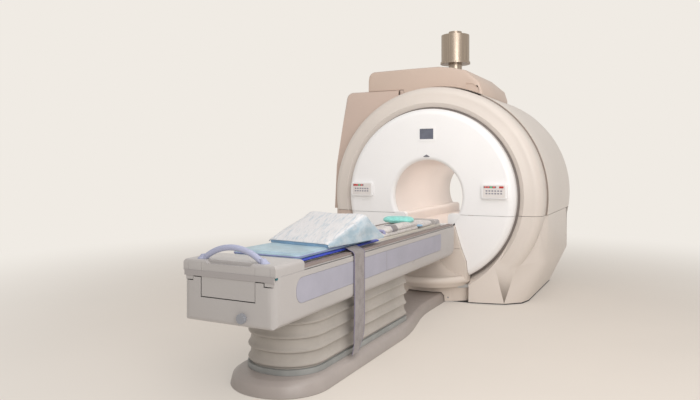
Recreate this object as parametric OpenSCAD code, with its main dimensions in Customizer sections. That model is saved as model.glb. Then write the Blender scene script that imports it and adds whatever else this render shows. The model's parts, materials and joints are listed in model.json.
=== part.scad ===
// Magnetic resonance scanner: round tunnel gantry with its covers, and a lifting couch with a
// sliding tabletop. Millimetres, +Z up. The tunnel runs along +Y, away from the couch, and +X is
// to the right as seen from the couch's foot end. The origin is on the floor, below the tunnel's
// axis, in the plane of the gantry's front disc.

/* [Gantry] */
// Height of the tunnel's axis above the floor
axis_h = 1050; // [1000:5:1100]
// Clear width of the patient aperture
bore_d = 710; // [690:5:720]
// Distance from the front disc's plane to the rear face
gantry_l = 1920; // [1840:10:2000]
// Radius of the barrel cover behind the ring
barrel_r = 1140; // [1130:5:1160]
// How much smaller the ring cover's radius is than the barrel's
ring_step = 20; // [10:2:30]
// Width of the ring of covers round the white front disc
ring_w = 235; // [225:5:245]
// Height of the seam between upper and lower covers
seam_h = 870; // [840:5:900]
// Wall of the moulded covers
cover_t = 6; // [4:0.5:8]
// Gap between neighbouring covers
cover_gap = 3; // [2:0.5:4]
// Radius of the rounded lip at each end of the tunnel
lip_r = 40; // [30:1:50]
// Radius of the rolled edge of the front disc
rim_r = 70; // [50:5:80]
// Depth of the front disc from its plane to its back edge
disc_depth = 115; // [100:5:120]
// How far the left shoulder cover stands out beyond the barrel at the seam
shoulder_out = 85; // [70:5:100]
// How far the left shoulder cover's top lies below the barrel's top
shoulder_drop = 15; // [5:1:25]
// How far the turret rises above the barrel's top
turret_rise = 215; // [195:5:235]
// Half width of the turret's right end, from the axis
turret_w = 487; // [470:2:500]
// Height of the dark base frame under the covers
kick_h = 15; // [10:1:20]

/* [Front] */
// Width of the screen above the tunnel
screen_w = 146; // [120:2:170]
// Height of the screen above the tunnel
screen_h = 106; // [90:2:120]
// Height of the screen's centre
screen_z = 1676; // [1640:2:1700]
// Width of each control panel
panel_w = 250; // [230:2:270]
// Height of each control panel
panel_h = 146; // [130:2:160]
// Distance of each control panel's centre inside the disc's edge
panel_in = 183; // [179:2:205]
// Height of each control panel's centre
panel_z = 1108; // [1080:2:1130]
// How far each control panel stands out of the disc
panel_d = 36; // [28:1:44]
// Travel of the stop keys
key_travel = 2; // [1:0.5:3]

/* [Nose] */
// Half width of the cover below the tunnel
nose_w = 424; // [410:2:430]
// Radius of the bowl's rim, seen from above
bowl_r = 444; // [430:2:450]
// Distance of the bowl's centre behind the front plane
bowl_y = 144; // [138:2:150]
// Height of the bottom of the bowl's hollow
bowl_z = 280; // [274:2:284]
// Radius of the bowl's hollow, seen from the side
cove_r = 240; // [234:2:246]
// Height of the joint between the two nose covers
nose_joint_z = 540; // [530:5:560]

/* [Cryostat] */
// Outer radius of the magnet vessel
vessel_r = 950; // [930:5:960]
// Inner radius of the magnet vessel
vessel_bore_r = 455; // [450:1:470]
// Distance of the magnet vessel's ends from the gantry's ends
vessel_y = 270; // [260:5:310]
// Wall of the magnet vessel, with its shields and windings
vessel_t = 30; // [20:1:40]
// Outer diameter of the vent pipe
vent_d = 152; // [140:2:160]
// Wall of the vent pipe
vent_t = 3; // [2:0.5:4]
// Outer diameter of the vent pipe's sleeve
sleeve_d = 318; // [300:2:330]
// Height of the sleeve's lower edge above the turret
sleeve_rise = 110; // [90:5:140]
// Length of the sleeve
sleeve_l = 330; // [300:5:360]

/* [Couch] */
// Half width of the couch body
couch_w = 322; // [316:1:326]
// Distance of the couch's foot end in front of the disc
couch_foot = 3200; // [3100:10:3300]
// Distance of the couch's head end in front of the disc
couch_head = 80; // [76:1:90]
// Height of the couch body's underside
couch_bottom = 480; // [478:1:486]
// Height of the couch body's top edge
couch_top = 766; // [764:1:767]
// Wall of the couch body
shell_t = 6; // [5:0.5:7]
// Travel of the lift, downwards from the scanning height
lift_travel = 170; // [140:5:172]
// Travel of the tabletop into the tunnel
slide_travel = 1500; // [1200:10:1510]
// Half width of the tabletop
table_w = 210; // [200:1:212]
// Thickness of the tabletop
table_t = 20; // [16:1:22]

/* [Base] */
// Half width of the plinth
plinth_w = 332; // [325:1:338]
// Half width of the plinth where it enters the nose
plinth_neck = 195; // [185:1:198]
// Distance of the plinth's foot end in front of the disc
plinth_foot = 2955; // [2930:5:2970]
// Height of the plinth's flat top
plinth_h = 94; // [88:1:100]
// Width of the plinth's bevelled edge
plinth_bevel = 56; // [46:1:62]
// Lean of the plinth's side below the bevel
plinth_lean = 17; // [10:1:22]
// Height at which the bevel starts
bevel_z = 72; // [66:1:78]
// Half width of the bellows over its folds
bellows_w = 263; // [256:1:268]
// Distance of the bellows' foot end in front of the disc
bellows_foot = 2812; // [2800:2:2824]
// Distance of the bellows' head end in front of the disc
bellows_head = 1163; // [1150:1:1220]
// Number of folds in the bellows
folds = 4; // [3:1:6]
// Depth of each fold
fold_d = 22; // [14:1:24]

/* [Hidden] */
$fn = 96;

bore_r = bore_d/2;
throat_r = bore_r + 10;
liner_t = 10;
mid_y = gantry_l/2;
ring_gap = 20;
ring_r = barrel_r - ring_step;
disc_r = ring_r - ring_w;
ring_in = disc_r + ring_gap;
ring_y = 110;
ring_edge = 90;
barrel_y = 345;
barrel_end = gantry_l - 360;
rear_edge = 150;
shoulder_y = 300;
shoulder_in = 430;
shoulder_w = barrel_r + shoulder_out;
shoulder_h = axis_h + barrel_r - shoulder_drop;
turret_h = axis_h + barrel_r + turret_rise;
sleeve_z = turret_h + sleeve_rise;
panel_x = disc_r - panel_in;
corner_in = nose_w + cover_gap;
table_z = couch_top + 11;
seat = 0.3;

// Points of an arc round c, from angle a0 to a1, in n steps
function arc(c, r, a0, a1, n = 12) =
    [for (i = [0:n]) let (a = a0 + (a1 - a0)*i/n) [c[0] + r*cos(a), c[1] + r*sin(a)]];

// Rectangle with rounded corners, as points, in anticlockwise order
function round_rect(w, h, r, n = 8) = concat(
    arc([w/2 - r, h/2 - r], r, 0, 90, n), arc([r - w/2, h/2 - r], r, 90, 180, n),
    arc([r - w/2, r - h/2], r, 180, 270, n), arc([w/2 - r, r - h/2], r, 270, 360, n));

// Solid through a list of sections: each is [height, points], with the same number of points
module skin(rings) {
    n = len(rings[0][1]);
    last = len(rings) - 1;
    points = [for (ring = rings) for (p = ring[1]) [p[0], p[1], ring[0]]];
    sides = [for (k = [0:last - 1]) for (i = [0:n - 1]) let (j = (i + 1) % n)
        each [[k*n + i, (k + 1)*n + i, (k + 1)*n + j], [k*n + i, (k + 1)*n + j, k*n + j]]];
    bottom = [for (i = [0:n - 1]) i];
    top = [for (i = [n - 1:-1:0]) last*n + i];
    polyhedron(points, concat([bottom], sides, [top]), convexity = 8);
}

// A profile of radius and depth, turned about the tunnel's axis
module about_bore(points) {
    translate([0, 0, axis_h]) rotate([-90, 0, 0]) rotate_extrude($fn = 128) polygon(points);
}

// Round bar along the tunnel's axis
module bore_bar(r, y0, y1) {
    translate([0, y0, axis_h]) rotate([-90, 0, 0]) cylinder(r = r, h = y1 - y0, $fn = 128);
}

// An outline seen from the front, from depth y0 to y1
module front_plate(y0, y1) {
    translate([0, y1, 0]) rotate([90, 0, 0]) linear_extrude(y1 - y0) children();
}

// An outline seen from the right side, with y to the right and z up, from x0 to x1
module side_plate(x0, x1) {
    translate([x0, 0, 0]) rotate([90, 0, 90]) linear_extrude(x1 - x0) children();
}

// Box given by its lowest and highest corners
module block(lo, hi) {
    translate(lo) cube(hi - lo);
}

// Both sides of the couch
module both_sides() {
    children();
    mirror([1, 0, 0]) children();
}

// Gantry inside

base_y0 = 60;
base_y1 = gantry_l - 180;
base_open = 380;
base_right = barrel_r - 208;
base_left = shoulder_w - 193;

// Dark base frame that carries the covers, set back under them
module base_frame() {
    color("dimgray") linear_extrude(kick_h) difference() {
        polygon([[-240, base_y0], [-440, base_y0], [272 - base_left, 140], [32 - base_left, 270],
            [-base_left, 420], [-base_left, base_y1 - 100], [132 - base_left, base_y1],
            [base_right - 32, base_y1], [base_right, base_y1 - 100], [base_right, 420],
            [base_right - 32, 270], [base_right - 172, 140], [440, base_y0], [240, base_y0],
            [240, base_y0 + 120], [-240, base_y0 + 120]]);
        translate([-base_open, 420]) square([2*base_open, base_y1 - 660]);
    }
}

foot_w = 180;
foot_x = 560;
foot_inset = 210;
bracket_r = 650;
bracket_d = 30;
nose_bracket_x = 250;

// Round bracket along the tunnel, at the angle a and radius r, from depth y0 to y1
module bracket(a, r, y0, y1) {
    translate([r*cos(a), y0, axis_h + r*sin(a)]) rotate([-90, 0, 0]) cylinder(d = bracket_d, h = y1 - y0, $fn = 24);
}

// Post from the vessel out to the radius r, at the angle a and depth y
module post(a, r, y) {
    intersection() {
        translate([0, y, axis_h]) rotate([0, -a, 0]) rotate([0, 90, 0]) cylinder(d = bracket_d, h = r + 20, $fn = 24);
        bore_bar(r, y - bracket_d, y + bracket_d);
    }
}

// Four steel feet under the magnet vessel, and the brackets on it that carry the covers
module magnet_supports() {
    color("slategray") difference() {
        union() {
            for (x = [-foot_x, foot_x]) for (y = [vessel_y + foot_inset, gantry_l - vessel_y - foot_inset])
                translate([x - foot_w/2, y - foot_w/2, kick_h]) cube([foot_w, foot_w, axis_h/2]);
            for (a = [-140, -40, 30, 60, 120, 150]) bracket(a, bracket_r, cover_t + seat, vessel_y);
            for (a = [-140, -40, 30, 90, 150])
                bracket(a, bracket_r, gantry_l - vessel_y, gantry_l - cover_t - seat);
            for (x = [-nose_bracket_x, nose_bracket_x]) {
                block([x - 15, nose_y + cover_t + 60 + seat, 640], [x + 15, vessel_y, 670]);
                block([x - 15, 30 + seat, 340], [x + 15, vessel_y, 370]);
            }
            for (a = [20, 90, 160]) post(a, ring_r - cover_t - seat, vessel_y + 40);
            for (a = [10, 40, 70]) post(a, barrel_r - cover_t - seat, 700);
            block([vessel_r/2, 685, 680], [barrel_r - 15 - cover_t - seat, 715, 720]);
            block([cover_t + seat - shoulder_w, 685, 680], [-vessel_r/2, 715, 720]);
        }
        bore_bar(vessel_r, vessel_y, gantry_l - vessel_y);
    }
}

// Steel vessel of the superconducting magnet, open at the top where the vent leaves it
module magnet_vessel() {
    color("lightsteelblue") difference() {
        bore_bar(vessel_r, vessel_y, gantry_l - vessel_y);
        bore_bar(vessel_bore_r, vessel_y - 1, gantry_l - vessel_y + 1);
        about_bore([[vessel_bore_r + vessel_t, vessel_y + vessel_t], [vessel_r - vessel_t, vessel_y + vessel_t],
            [vessel_r - vessel_t, gantry_l - vessel_y - vessel_t],
            [vessel_bore_r + vessel_t, gantry_l - vessel_y - vessel_t]]);
        translate([0, mid_y, axis_h + vessel_r - 2*vessel_t]) cylinder(d = vent_d - 2*vent_t, h = 4*vessel_t);
    }
}

gradient_t = 60;
gradient_in = vessel_bore_r - seat - gradient_t;

// Thick resin cylinder with the gradient windings
module gradient_coil() {
    color("peru") difference() {
        bore_bar(vessel_bore_r - seat, vessel_y + 60, gantry_l - vessel_y - 60);
        bore_bar(gradient_in, 0, gantry_l);
    }
}

// Body transmit coil, a thin cylinder between the gradient coil and the liner
module body_coil() {
    color("burlywood") difference() {
        bore_bar(gradient_in - seat, vessel_y + 200, gantry_l - vessel_y - 200);
        bore_bar(bore_r + liner_t + seat, 0, gantry_l);
    }
}

liner_y = lip_r + 23;
taper_l = 240;

// Smooth tube that the patient sees, widening a little at both ends
module bore_liner() {
    color("linen") about_bore([
        [throat_r - 1, liner_y], [throat_r - 1 + liner_t, liner_y],
        [bore_r + liner_t, liner_y + taper_l], [bore_r + liner_t, gantry_l - liner_y - taper_l],
        [throat_r - 1 + liner_t, gantry_l - liner_y], [throat_r - 1, gantry_l - liner_y],
        [bore_r, gantry_l - liner_y - taper_l], [bore_r, liner_y + taper_l]]);
}

// Gantry covers

lip_c = [throat_r + lip_r, lip_r];
rim_c = [disc_r - rim_r, rim_r];

// Profile of the disc cover: lip of the tunnel, flat face, rolled edge and turned-back rim
function disc_profile() = concat(
    [[throat_r, liner_y - cover_gap]], arc(lip_c, lip_r, 180, 270, 10),
    arc(rim_c, rim_r, 270, 360, 14), [[disc_r, disc_depth], [disc_r - cover_t, disc_depth]],
    arc(rim_c, rim_r - cover_t, 360, 270, 14), arc(lip_c, lip_r - cover_t, 270, 180, 10),
    [[throat_r + cover_t, liner_y - cover_gap]]);

module disc_cover() {
    about_bore(disc_profile());
}

// Everything behind the disc's outer surface, for seating parts on the disc
module disc_solid() {
    about_bore(concat([[0, 0]], arc(rim_c, rim_r, 270, 360, 14), [[disc_r, disc_depth], [0, disc_depth]]));
}

module above_seam() {
    block([-2000, -100, seam_h + cover_gap/2], [2000, gantry_l + 100, 3000]);
}

module below_seam() {
    block([-2000, -600, -10], [2000, gantry_l + 100, seam_h - cover_gap/2]);
}

chute_x = -671;
chute_w = 84;
chute_top = 1001;

// Upper part of the white front disc, with the seat of the screen
module front_upper_cover() {
    color("white") difference() {
        intersection() {
            disc_cover();
            above_seam();
        }
        block([-screen_w/2 - bezel_lap, -20, screen_z - screen_h/2 - bezel_lap],
            [screen_w/2 + bezel_lap, 30, screen_z + screen_h/2 + bezel_lap]);
        block([chute_x - chute_w/2, -1, seam_h], [chute_x + chute_w/2, 2.5, chute_top]);
    }
}

// Outline of the two nose covers, seen from the front
nose_outline = [[nose_w, kick_h], [nose_w, 290], [nose_w - 10, 412], [nose_w - 65, 556],
    [nose_w - 116, 721], [255, 900]];

module nose_shape(grow) {
    offset(delta = grow) polygon(concat(nose_outline,
        [for (i = [len(nose_outline) - 1:-1:0]) [-nose_outline[i][0], nose_outline[i][1]]]));
}

// Lower part of the disc, one piece each side of the nose
module disc_flank() {
    difference() {
        intersection() {
            disc_cover();
            below_seam();
            block([0, -10, 0], [disc_r + 10, disc_depth + 10, seam_h]);
        }
        front_plate(-10, disc_depth + 10) nose_shape(cover_gap);
    }
}

module front_right_cover() {
    color("white") disc_flank();
}

module front_left_cover() {
    color("white") mirror([1, 0, 0]) disc_flank();
}

nose_y = -30;
nose_back = 100;
skirt_back = 175;
column_r = bowl_r - cove_r;
skirt_r = 549;
skirt_y = 479;
rim_half = 40;
screw_z = 50;
screw_a = 25;
screw_d = 16;

// Upper nose cover: the flat panel behind the couch's head end
module nose_upper_cover() {
    color("antiquewhite") difference() {
        intersection() {
            union() {
                block([-nose_w, nose_y, nose_joint_z + cover_gap/2], [nose_w, nose_back, seam_h]);
                translate([0, bowl_y, nose_joint_z + cover_gap/2])
                    cylinder(r = column_r, h = seam_h - nose_joint_z);
            }
            front_plate(nose_y - 60, nose_back) nose_shape(0);
        }
        bore_bar(throat_r + lip_r + cover_gap, nose_y - 100, nose_back + 300);
        block([-nose_w, nose_y + cover_t + 60, 0], [nose_w, nose_back + 300, seam_h + 10]);
    }
}

// Side profile of the bowl: skirt, rounded rim, hollow that clears the lowered couch
function bowl_profile() = concat(
    [[0, kick_h + 160], [bowl_r - 44, kick_h + 160]],
    arc([bowl_r - rim_half, bowl_z - rim_half], rim_half, -60, 90, 10),
    arc([bowl_r, bowl_z + cove_r], cove_r, 262, 180, 16),
    [[column_r, nose_joint_z], [0, nose_joint_z]]);

plinth_clear = 8;

// Section of the plinth's neck, grown by c, as the cut-out in the skirt
module neck_section(c) {
    polygon([for (side = [1, -1]) for (p = side > 0 ? neck_edge(c) : [for (i = [3:-1:0]) neck_edge(c)[i]])
        [side*p[0], p[1]]]);
}
function neck_edge(c) = [[plinth_neck + c, -1], [plinth_neck + c, 6],
    [plinth_neck - neck_share*plinth_lean + c, bevel_z], [plinth_neck - neck_share*plinth_bevel + c/2, plinth_h + c]];

// Lower nose cover: flared bowl under the couch's head end, and the skirt round the plinth
module nose_lower_cover() {
    color("antiquewhite") difference() {
        intersection() {
            union() {
                block([-nose_w, nose_y, bowl_z - 60], [nose_w, nose_back, nose_joint_z - cover_gap/2]);
                translate([0, bowl_y, 0]) rotate_extrude($fn = 128) polygon(bowl_profile());
                translate([0, skirt_y, kick_h]) cylinder(r = skirt_r, h = bowl_z - 60 - kick_h, $fn = 180);
            }
            front_plate(-bowl_r, skirt_back) nose_shape(0);
            union() {
                block([-nose_w, -bowl_r, kick_h], [nose_w, nose_back, nose_joint_z - cover_gap/2]);
                block([-nose_w, -bowl_r, kick_h], [nose_w, skirt_back, 140]);
            }
        }
        front_plate(-bowl_r, skirt_back + 1) neck_section(plinth_clear);
        block([-nose_w + 30, 30, plinth_h + 40], [nose_w - 30, skirt_back + 1, nose_joint_z - 30]);
        both_sides() block([plinth_neck + plinth_clear + cover_t, 30, 0], [nose_w - 30, skirt_back + 1, plinth_h + 50]);
        both_sides() translate([0, skirt_y, screw_z]) rotate([0, 0, screw_a - 90])
            translate([skirt_r - screw_d/8, 0, 0]) rotate([0, 90, 0]) cylinder(d = screw_d, h = screw_d, $fn = 24);
    }
}

ring_mid = ring_r - ring_edge;
ring_back = barrel_y - cover_gap;

// Outline of the ring in section: bevel beside the disc, sloping face, rounded outer edge
module ring_outline(grow) {
    offset(delta = grow) polygon(concat(
        [[ring_in, ring_back + 20], [ring_in, ring_y + 16], [ring_in + 45, ring_y - 20], [ring_mid, ring_y]],
        arc([ring_mid, ring_y + ring_edge], ring_edge, 275, 360, 12), [[ring_r, ring_back + 20]]));
}

module turn_about_bore() {
    translate([0, 0, axis_h]) rotate([-90, 0, 0]) rotate_extrude($fn = 128) children();
}

// Arch of the ring cover, above the seam
module ring_cover() {
    color("linen") intersection() {
        turn_about_bore() difference() {
            ring_outline(0);
            ring_outline(-cover_t);
            translate([0, ring_back]) square([2*ring_r, 100]);
            translate([0, ring_y + 50]) square([ring_in + cover_t, 400]);
        }
        above_seam();
    }
}

// Plan of a lower corner cover: at the floor and at the seam, for the side half width w
function corner_foot(w) = [[corner_in, 22], [564, 52], [757, 102], [w - 230, 240], [w - 190, 400],
    [w - 190, barrel_end], [corner_in, barrel_end]];
function corner_top(w) = [[corner_in, 30], [560, 45], [880, 150], [w - 60, 290], [w, 380],
    [w, barrel_end], [corner_in, barrel_end]];

// Form of a corner cover, shrunk by inset: a bevelled block that runs into the ring's round edge
module corner_form(w, inset) {
    over = inset > 0 ? 10 : 0;
    hull() {
        translate([0, 0, kick_h - over]) linear_extrude(1) offset(delta = -inset) polygon(corner_foot(w));
        translate([0, 0, 420]) linear_extrude(seam_h - cover_gap/2 - 420 + over)
            offset(delta = -inset) polygon(corner_top(w));
    }
    intersection() {
        turn_about_bore() ring_outline(-inset);
        block([corner_in + inset, 0, kick_h - over], [w, barrel_y + 10, seam_h - cover_gap/2 + over]);
    }
}

rim_bevel = 1.65;

// Space of the disc, with the bevel round it, grown by d
module rim_space(d) {
    about_bore([[0, -100], [ring_in + (ring_y + 116)/rim_bevel + d, -100], [ring_in + d, ring_y + 16],
        [ring_in + d, ring_y + 50], [0, ring_y + 50]]);
}

// Moulded corner cover from the seam to the floor, bevelled round the disc
module corner_cover(w) {
    difference() {
        corner_form(w, 0);
        difference() {
            corner_form(w, cover_t);
            rim_space(cover_t);
        }
        rim_space(0);
        bore_bar(vessel_r + 20, ring_y + 50, barrel_end + 10);
    }
}

module right_corner_cover() {
    color("linen") corner_cover(barrel_r - 15);
}

module left_corner_cover() {
    color("linen") mirror([1, 0, 0]) corner_cover(shoulder_w);
}

// Outline of the left shoulder cover, seen from the front
function shoulder_outline(inset) = concat(
    [[-shoulder_in, seam_h + cover_gap/2], [-shoulder_in, shoulder_h - inset]],
    arc([inset - shoulder_w + 235, shoulder_h - 80], 80 - inset, 90, 165, 6),
    [[inset - shoulder_w + 100, 1800], [inset - shoulder_w + 25, 1361],
    [inset - shoulder_w, seam_h + cover_gap/2]]);

shoulder_bevel = 24;

// Left shoulder cover, with a bevelled outer edge and a bare front face
module left_shoulder_cover() {
    color("rosybrown") difference() {
        union() {
            front_plate(shoulder_y + shoulder_bevel, barrel_end) polygon(shoulder_outline(0));
            hull() {
                front_plate(shoulder_y, shoulder_y + 1) polygon(shoulder_outline(shoulder_bevel/2));
                front_plate(shoulder_y + shoulder_bevel, shoulder_y + shoulder_bevel + 1)
                    polygon(shoulder_outline(0));
            }
        }
        front_plate(shoulder_y + shoulder_bevel, barrel_end - cover_t)
            polygon(shoulder_outline(cover_t + 2));
        bore_bar(ring_r + seat, 0, barrel_end - cover_t);
        bore_bar(vessel_r + 20, barrel_end - cover_t - 1, barrel_end + 1);
        block([-shoulder_w - 10, barrel_y + 20, seam_h - 5], [-shoulder_in - 12, barrel_end - 12, seam_h + 10]);
        translate([-shoulder_in - 6, shoulder_y - 1, shoulder_h - 44]) rotate([0, 22, 0])
            cube([4, shoulder_bevel, 60]);
    }
}

// Barrel cover over the magnet, right of the shoulder, with a hole for the vent
module barrel_cover() {
    color("linen") difference() {
        intersection() {
            about_bore([[barrel_r - cover_t, barrel_y], [barrel_r, barrel_y], [barrel_r, barrel_end],
                [barrel_r - cover_t, barrel_end]]);
            block([-shoulder_in + cover_gap, 0, seam_h + cover_gap/2], [barrel_r + 10, gantry_l, 3000]);
        }
        translate([0, mid_y, axis_h + barrel_r - 60]) cylinder(d = vent_hole, h = 120);
    }
}

// Outline of the turret, seen from the front
function turret_outline(inset) = let (foot = axis_h + barrel_r - 690, left = turret_w + turret_more) concat(
    [[inset - left, foot]], [[8 - left + inset, turret_h - 110]],
    arc([85 - left, turret_h - 82], 72 - inset, 170, 96, 5), [[-300, turret_h - 2 - inset]],
    [[0, turret_h - inset], [turret_w - 337, turret_h - 20 - inset],
    [turret_w - 182 - inset/2, turret_h - 58 - inset], [turret_w - 32 - inset, turret_h - 190 - inset/2],
    [turret_w - inset, turret_h - 290], [turret_w - inset, foot]]);

turret_y = 328;
turret_more = 333;
turret_end = barrel_end - 130;
turret_edge = 30;
grip_d = 7;
vent_hole = vent_d + 8;

// Turret over the cold head and the vent
module turret_cover() {
    color("antiquewhite") difference() {
        union() {
            front_plate(turret_y + turret_edge, turret_end) polygon(turret_outline(0));
            hull() {
                front_plate(turret_y, turret_y + 1) polygon(turret_outline(turret_edge));
                front_plate(turret_y + turret_edge*0.3, turret_y + turret_edge*0.3 + 1)
                    polygon(turret_outline(turret_edge*0.28));
                front_plate(turret_y + turret_edge, turret_y + turret_edge + 1)
                    polygon(turret_outline(0));
            }
        }
        front_plate(turret_y + turret_edge + 1, turret_end - cover_t) polygon(turret_outline(cover_t));
        bore_bar(barrel_r + seat, 0, gantry_l);
        block([-900, 0, axis_h], [-shoulder_in + 50, gantry_l, shoulder_h + cover_gap]);
        translate([0, mid_y, turret_h - 100]) cylinder(d = vent_hole, h = 200);
        front_plate(turret_y - 1, turret_y + grip_d) polygon([[turret_w - 176, turret_h - 300],
            [turret_w - 176, turret_h - 196], [turret_w - 106, turret_h - 206],
            [turret_w - 46, turret_h - 250], [turret_w - 38, turret_h - 300]]);
    }
}

// Profile of the rear covers: lip, flat rear face and a wide rounded edge
function rear_profile() = concat(
    [[throat_r + cover_t, gantry_l - liner_y + cover_gap], [throat_r, gantry_l - liner_y + cover_gap]],
    arc([lip_c[0], gantry_l - lip_r], lip_r, 180, 90, 10),
    arc([barrel_r - rear_edge, gantry_l - rear_edge], rear_edge, 90, 0, 14),
    [[barrel_r, barrel_end + cover_gap], [barrel_r - cover_t, barrel_end + cover_gap]],
    arc([barrel_r - rear_edge, gantry_l - rear_edge], rear_edge - cover_t, 0, 90, 14),
    arc([lip_c[0], gantry_l - lip_r], lip_r - cover_t, 90, 180, 10));

module rear_upper_cover() {
    color("linen") intersection() {
        about_bore(rear_profile());
        above_seam();
    }
}

// Plan of the rear skirt, drawn in by d at the sides
function rear_plan(d) = [[d - shoulder_w, barrel_end + cover_gap], [barrel_r - 15 - d, barrel_end + cover_gap],
    [barrel_r - 15 - d, barrel_end + 90], [barrel_r - 230 - d, gantry_l - 70],
    [230 + d - barrel_r, gantry_l - 70], [d - shoulder_w, barrel_end + 90]];

// Form of the rear skirt, shrunk by inset and then open towards the front and below
module rear_form(inset) {
    over = inset > 0 ? 10 : 0;
    translate([0, -over, 0]) hull() {
        translate([0, 0, kick_h - over]) linear_extrude(1) polygon(rear_plan(190 + inset));
        translate([0, 0, 420]) linear_extrude(seam_h - 420) polygon(rear_plan(inset));
    }
}

// Space inside the round rear cover
module rear_space() {
    about_bore(concat([[0, barrel_end - 20], [0, gantry_l - cover_t]],
        arc([barrel_r - rear_edge, gantry_l - rear_edge], rear_edge - cover_t, 90, 0, 14),
        [[barrel_r - cover_t, barrel_end - 20]]));
}

// Lower rear cover: the same round face, carried down to the floor by a skirt
module rear_lower_cover() {
    color("linen") intersection() {
        union() {
            difference() {
                about_bore(rear_profile());
                rear_form(cover_t);
            }
            difference() {
                rear_form(0);
                rear_form(cover_t);
                rear_space();
            }
        }
        block([-2000, 1000, kick_h], [2000, gantry_l + 10, seam_h - cover_gap/2]);
    }
}

// Vent

vent_base = axis_h + vessel_r - 6;
vent_shoulder = sleeve_z + sleeve_l + 2;
vent_top = vent_shoulder + 38;
spigot_d = vent_d - 3;

// Vent pipe from the magnet vessel up through the turret, with a turned spigot at its end
module vent_pipe() {
    color("silver") translate([0, mid_y, 0]) difference() {
        union() {
            translate([0, 0, vent_base]) cylinder(d = vent_d, h = vent_shoulder - vent_base);
            translate([0, 0, vent_base]) cylinder(d = spigot_d, h = vent_top - vent_base);
            translate([0, 0, vent_base]) cylinder(d = vent_d + 60, h = 20);
        }
        translate([0, 0, vent_base - 1]) cylinder(d = vent_d - 2*vent_t, h = vent_top - vent_base + 2);
        translate([0, -mid_y, 0]) bore_bar(vessel_r, 0, gantry_l);
    }
}

sleeve_t = 2;
sleeve_ring = 10;

// Stainless sleeve round the vent pipe, closed by a ring plate at each end
module vent_sleeve() {
    color("gainsboro") translate([0, mid_y, sleeve_z]) difference() {
        union() {
            cylinder(d = sleeve_d, h = sleeve_l);
            cylinder(d = sleeve_d + 2*sleeve_ring, h = 22);
        }
        translate([0, 0, 6]) cylinder(d = sleeve_d - 2*sleeve_t, h = sleeve_l - 12);
        translate([0, 0, -1]) cylinder(d = vent_d + 0.6, h = sleeve_l + 2);
    }
}

// Screen and panels

bezel_lap = 6;
bezel_w = 18;
bezel_out = 5;

// White frame of the screen, let into the disc
module screen_bezel() {
    color("white") translate([0, 0, screen_z]) difference() {
        union() {
            front_plate(-bezel_out, 0) polygon(round_rect(screen_w + 2*bezel_w, screen_h + 2*bezel_w, 8));
            front_plate(-0.01, 24) square([screen_w + 2*bezel_lap - 1, screen_h + 2*bezel_lap - 1], center = true);
        }
        front_plate(-bezel_out - 1, 18) square([screen_w, screen_h], center = true);
    }
}

// Dark glass of the screen
module screen() {
    color("midnightblue") translate([0, 0, screen_z])
        front_plate(0, 18) square([screen_w - 0.4, screen_h - 0.4], center = true);
}

mark_z = 1456;

// Small window of the positioning light, a chevron on a sill
module laser_window() {
    color("gray") translate([0, 0, mark_z])
        front_plate(-3, 0) polygon([[-34, -8], [0, 12], [34, -8], [24, -14], [-24, -14]]);
}

key_w = 42;
key_h = 18;
key_z = 42;
key_x = 72;
panel_shift = 10;
key_gap = 0.3;
key_out = 3;
key_depth = 16;
pad_w = 214;
pad_h = 118;
pad_t = 1.2;

// Housing of a control panel: pillow-edged box with a sloping underside
module panel_body() {
    difference() {
        union() {
            front_plate(-panel_d, 0) polygon(round_rect(panel_w - 16, panel_h - 16, 18));
            front_plate(-panel_d + 8, 60) polygon(round_rect(panel_w, panel_h, 24));
        }
        front_plate(-panel_d - 1, -panel_d + pad_t) polygon(round_rect(pad_w + 1, pad_h + 1, 6));
        translate([key_x, 0, key_z])
            front_plate(-panel_d - 1, key_depth - panel_d) square([key_w, key_h], center = true);
    }
}

module panel_at(side) {
    translate([side*panel_x - panel_shift, 0, panel_z]) mirror([side < 0 ? 1 : 0, 0, 0]) children();
}

module panel_housing(side) {
    color("whitesmoke") difference() {
        panel_at(side) panel_body();
        disc_solid();
    }
}

module left_panel() {
    panel_housing(-1);
}

module right_panel() {
    panel_housing(1);
}

key_cols = 6;
key_rows = 2;
pad_key_w = 20;
pad_key_h = 15;
readout_x = -38;
readout_w = 128;

// Flexible keypad sheet with raised keys, a window for the readout and a hole for the stop key
module keypad() {
    difference() {
        union() {
            front_plate(-panel_d + 0.2, -panel_d + pad_t) polygon(round_rect(pad_w, pad_h, 6));
            for (i = [0:key_cols - 1]) for (k = [0:key_rows - 1])
                translate([i*(pad_key_w + 8) - 70, 0, 6 - k*(pad_key_h + 10)])
                    front_plate(-panel_d - 0.6, -panel_d + 0.21) polygon(round_rect(pad_key_w, pad_key_h, 3, 3));
            translate([readout_x, 0, key_z])
                front_plate(-panel_d - 0.6, -panel_d + 0.21) polygon(round_rect(readout_w, 22, 3, 3));
        }
        translate([key_x, 0, key_z])
            front_plate(-panel_d - 2, 0) square([key_w + 4, key_h + 4], center = true);
    }
}

module left_keypad() {
    color("lightgray") panel_at(-1) keypad();
}

module right_keypad() {
    color("lightgray") panel_at(1) keypad();
}

// Red stop key that is pushed into its housing
module stop_key() {
    translate([key_x, 0, key_z])
        front_plate(-panel_d - key_out, key_depth - panel_d - key_travel - 1)
            square([key_w - 2*key_gap, key_h - 2*key_gap], center = true);
}

module left_stop_key() {
    color("red") panel_at(-1) stop_key();
}

module right_stop_key() {
    color("red") panel_at(1) stop_key();
}

// Bridge in the tunnel

bridge_r = bore_r - seat;
trough_w = table_w + 14;
trough_z = couch_top + 9;
arm_z = 880;
arm_r = 34;

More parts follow.
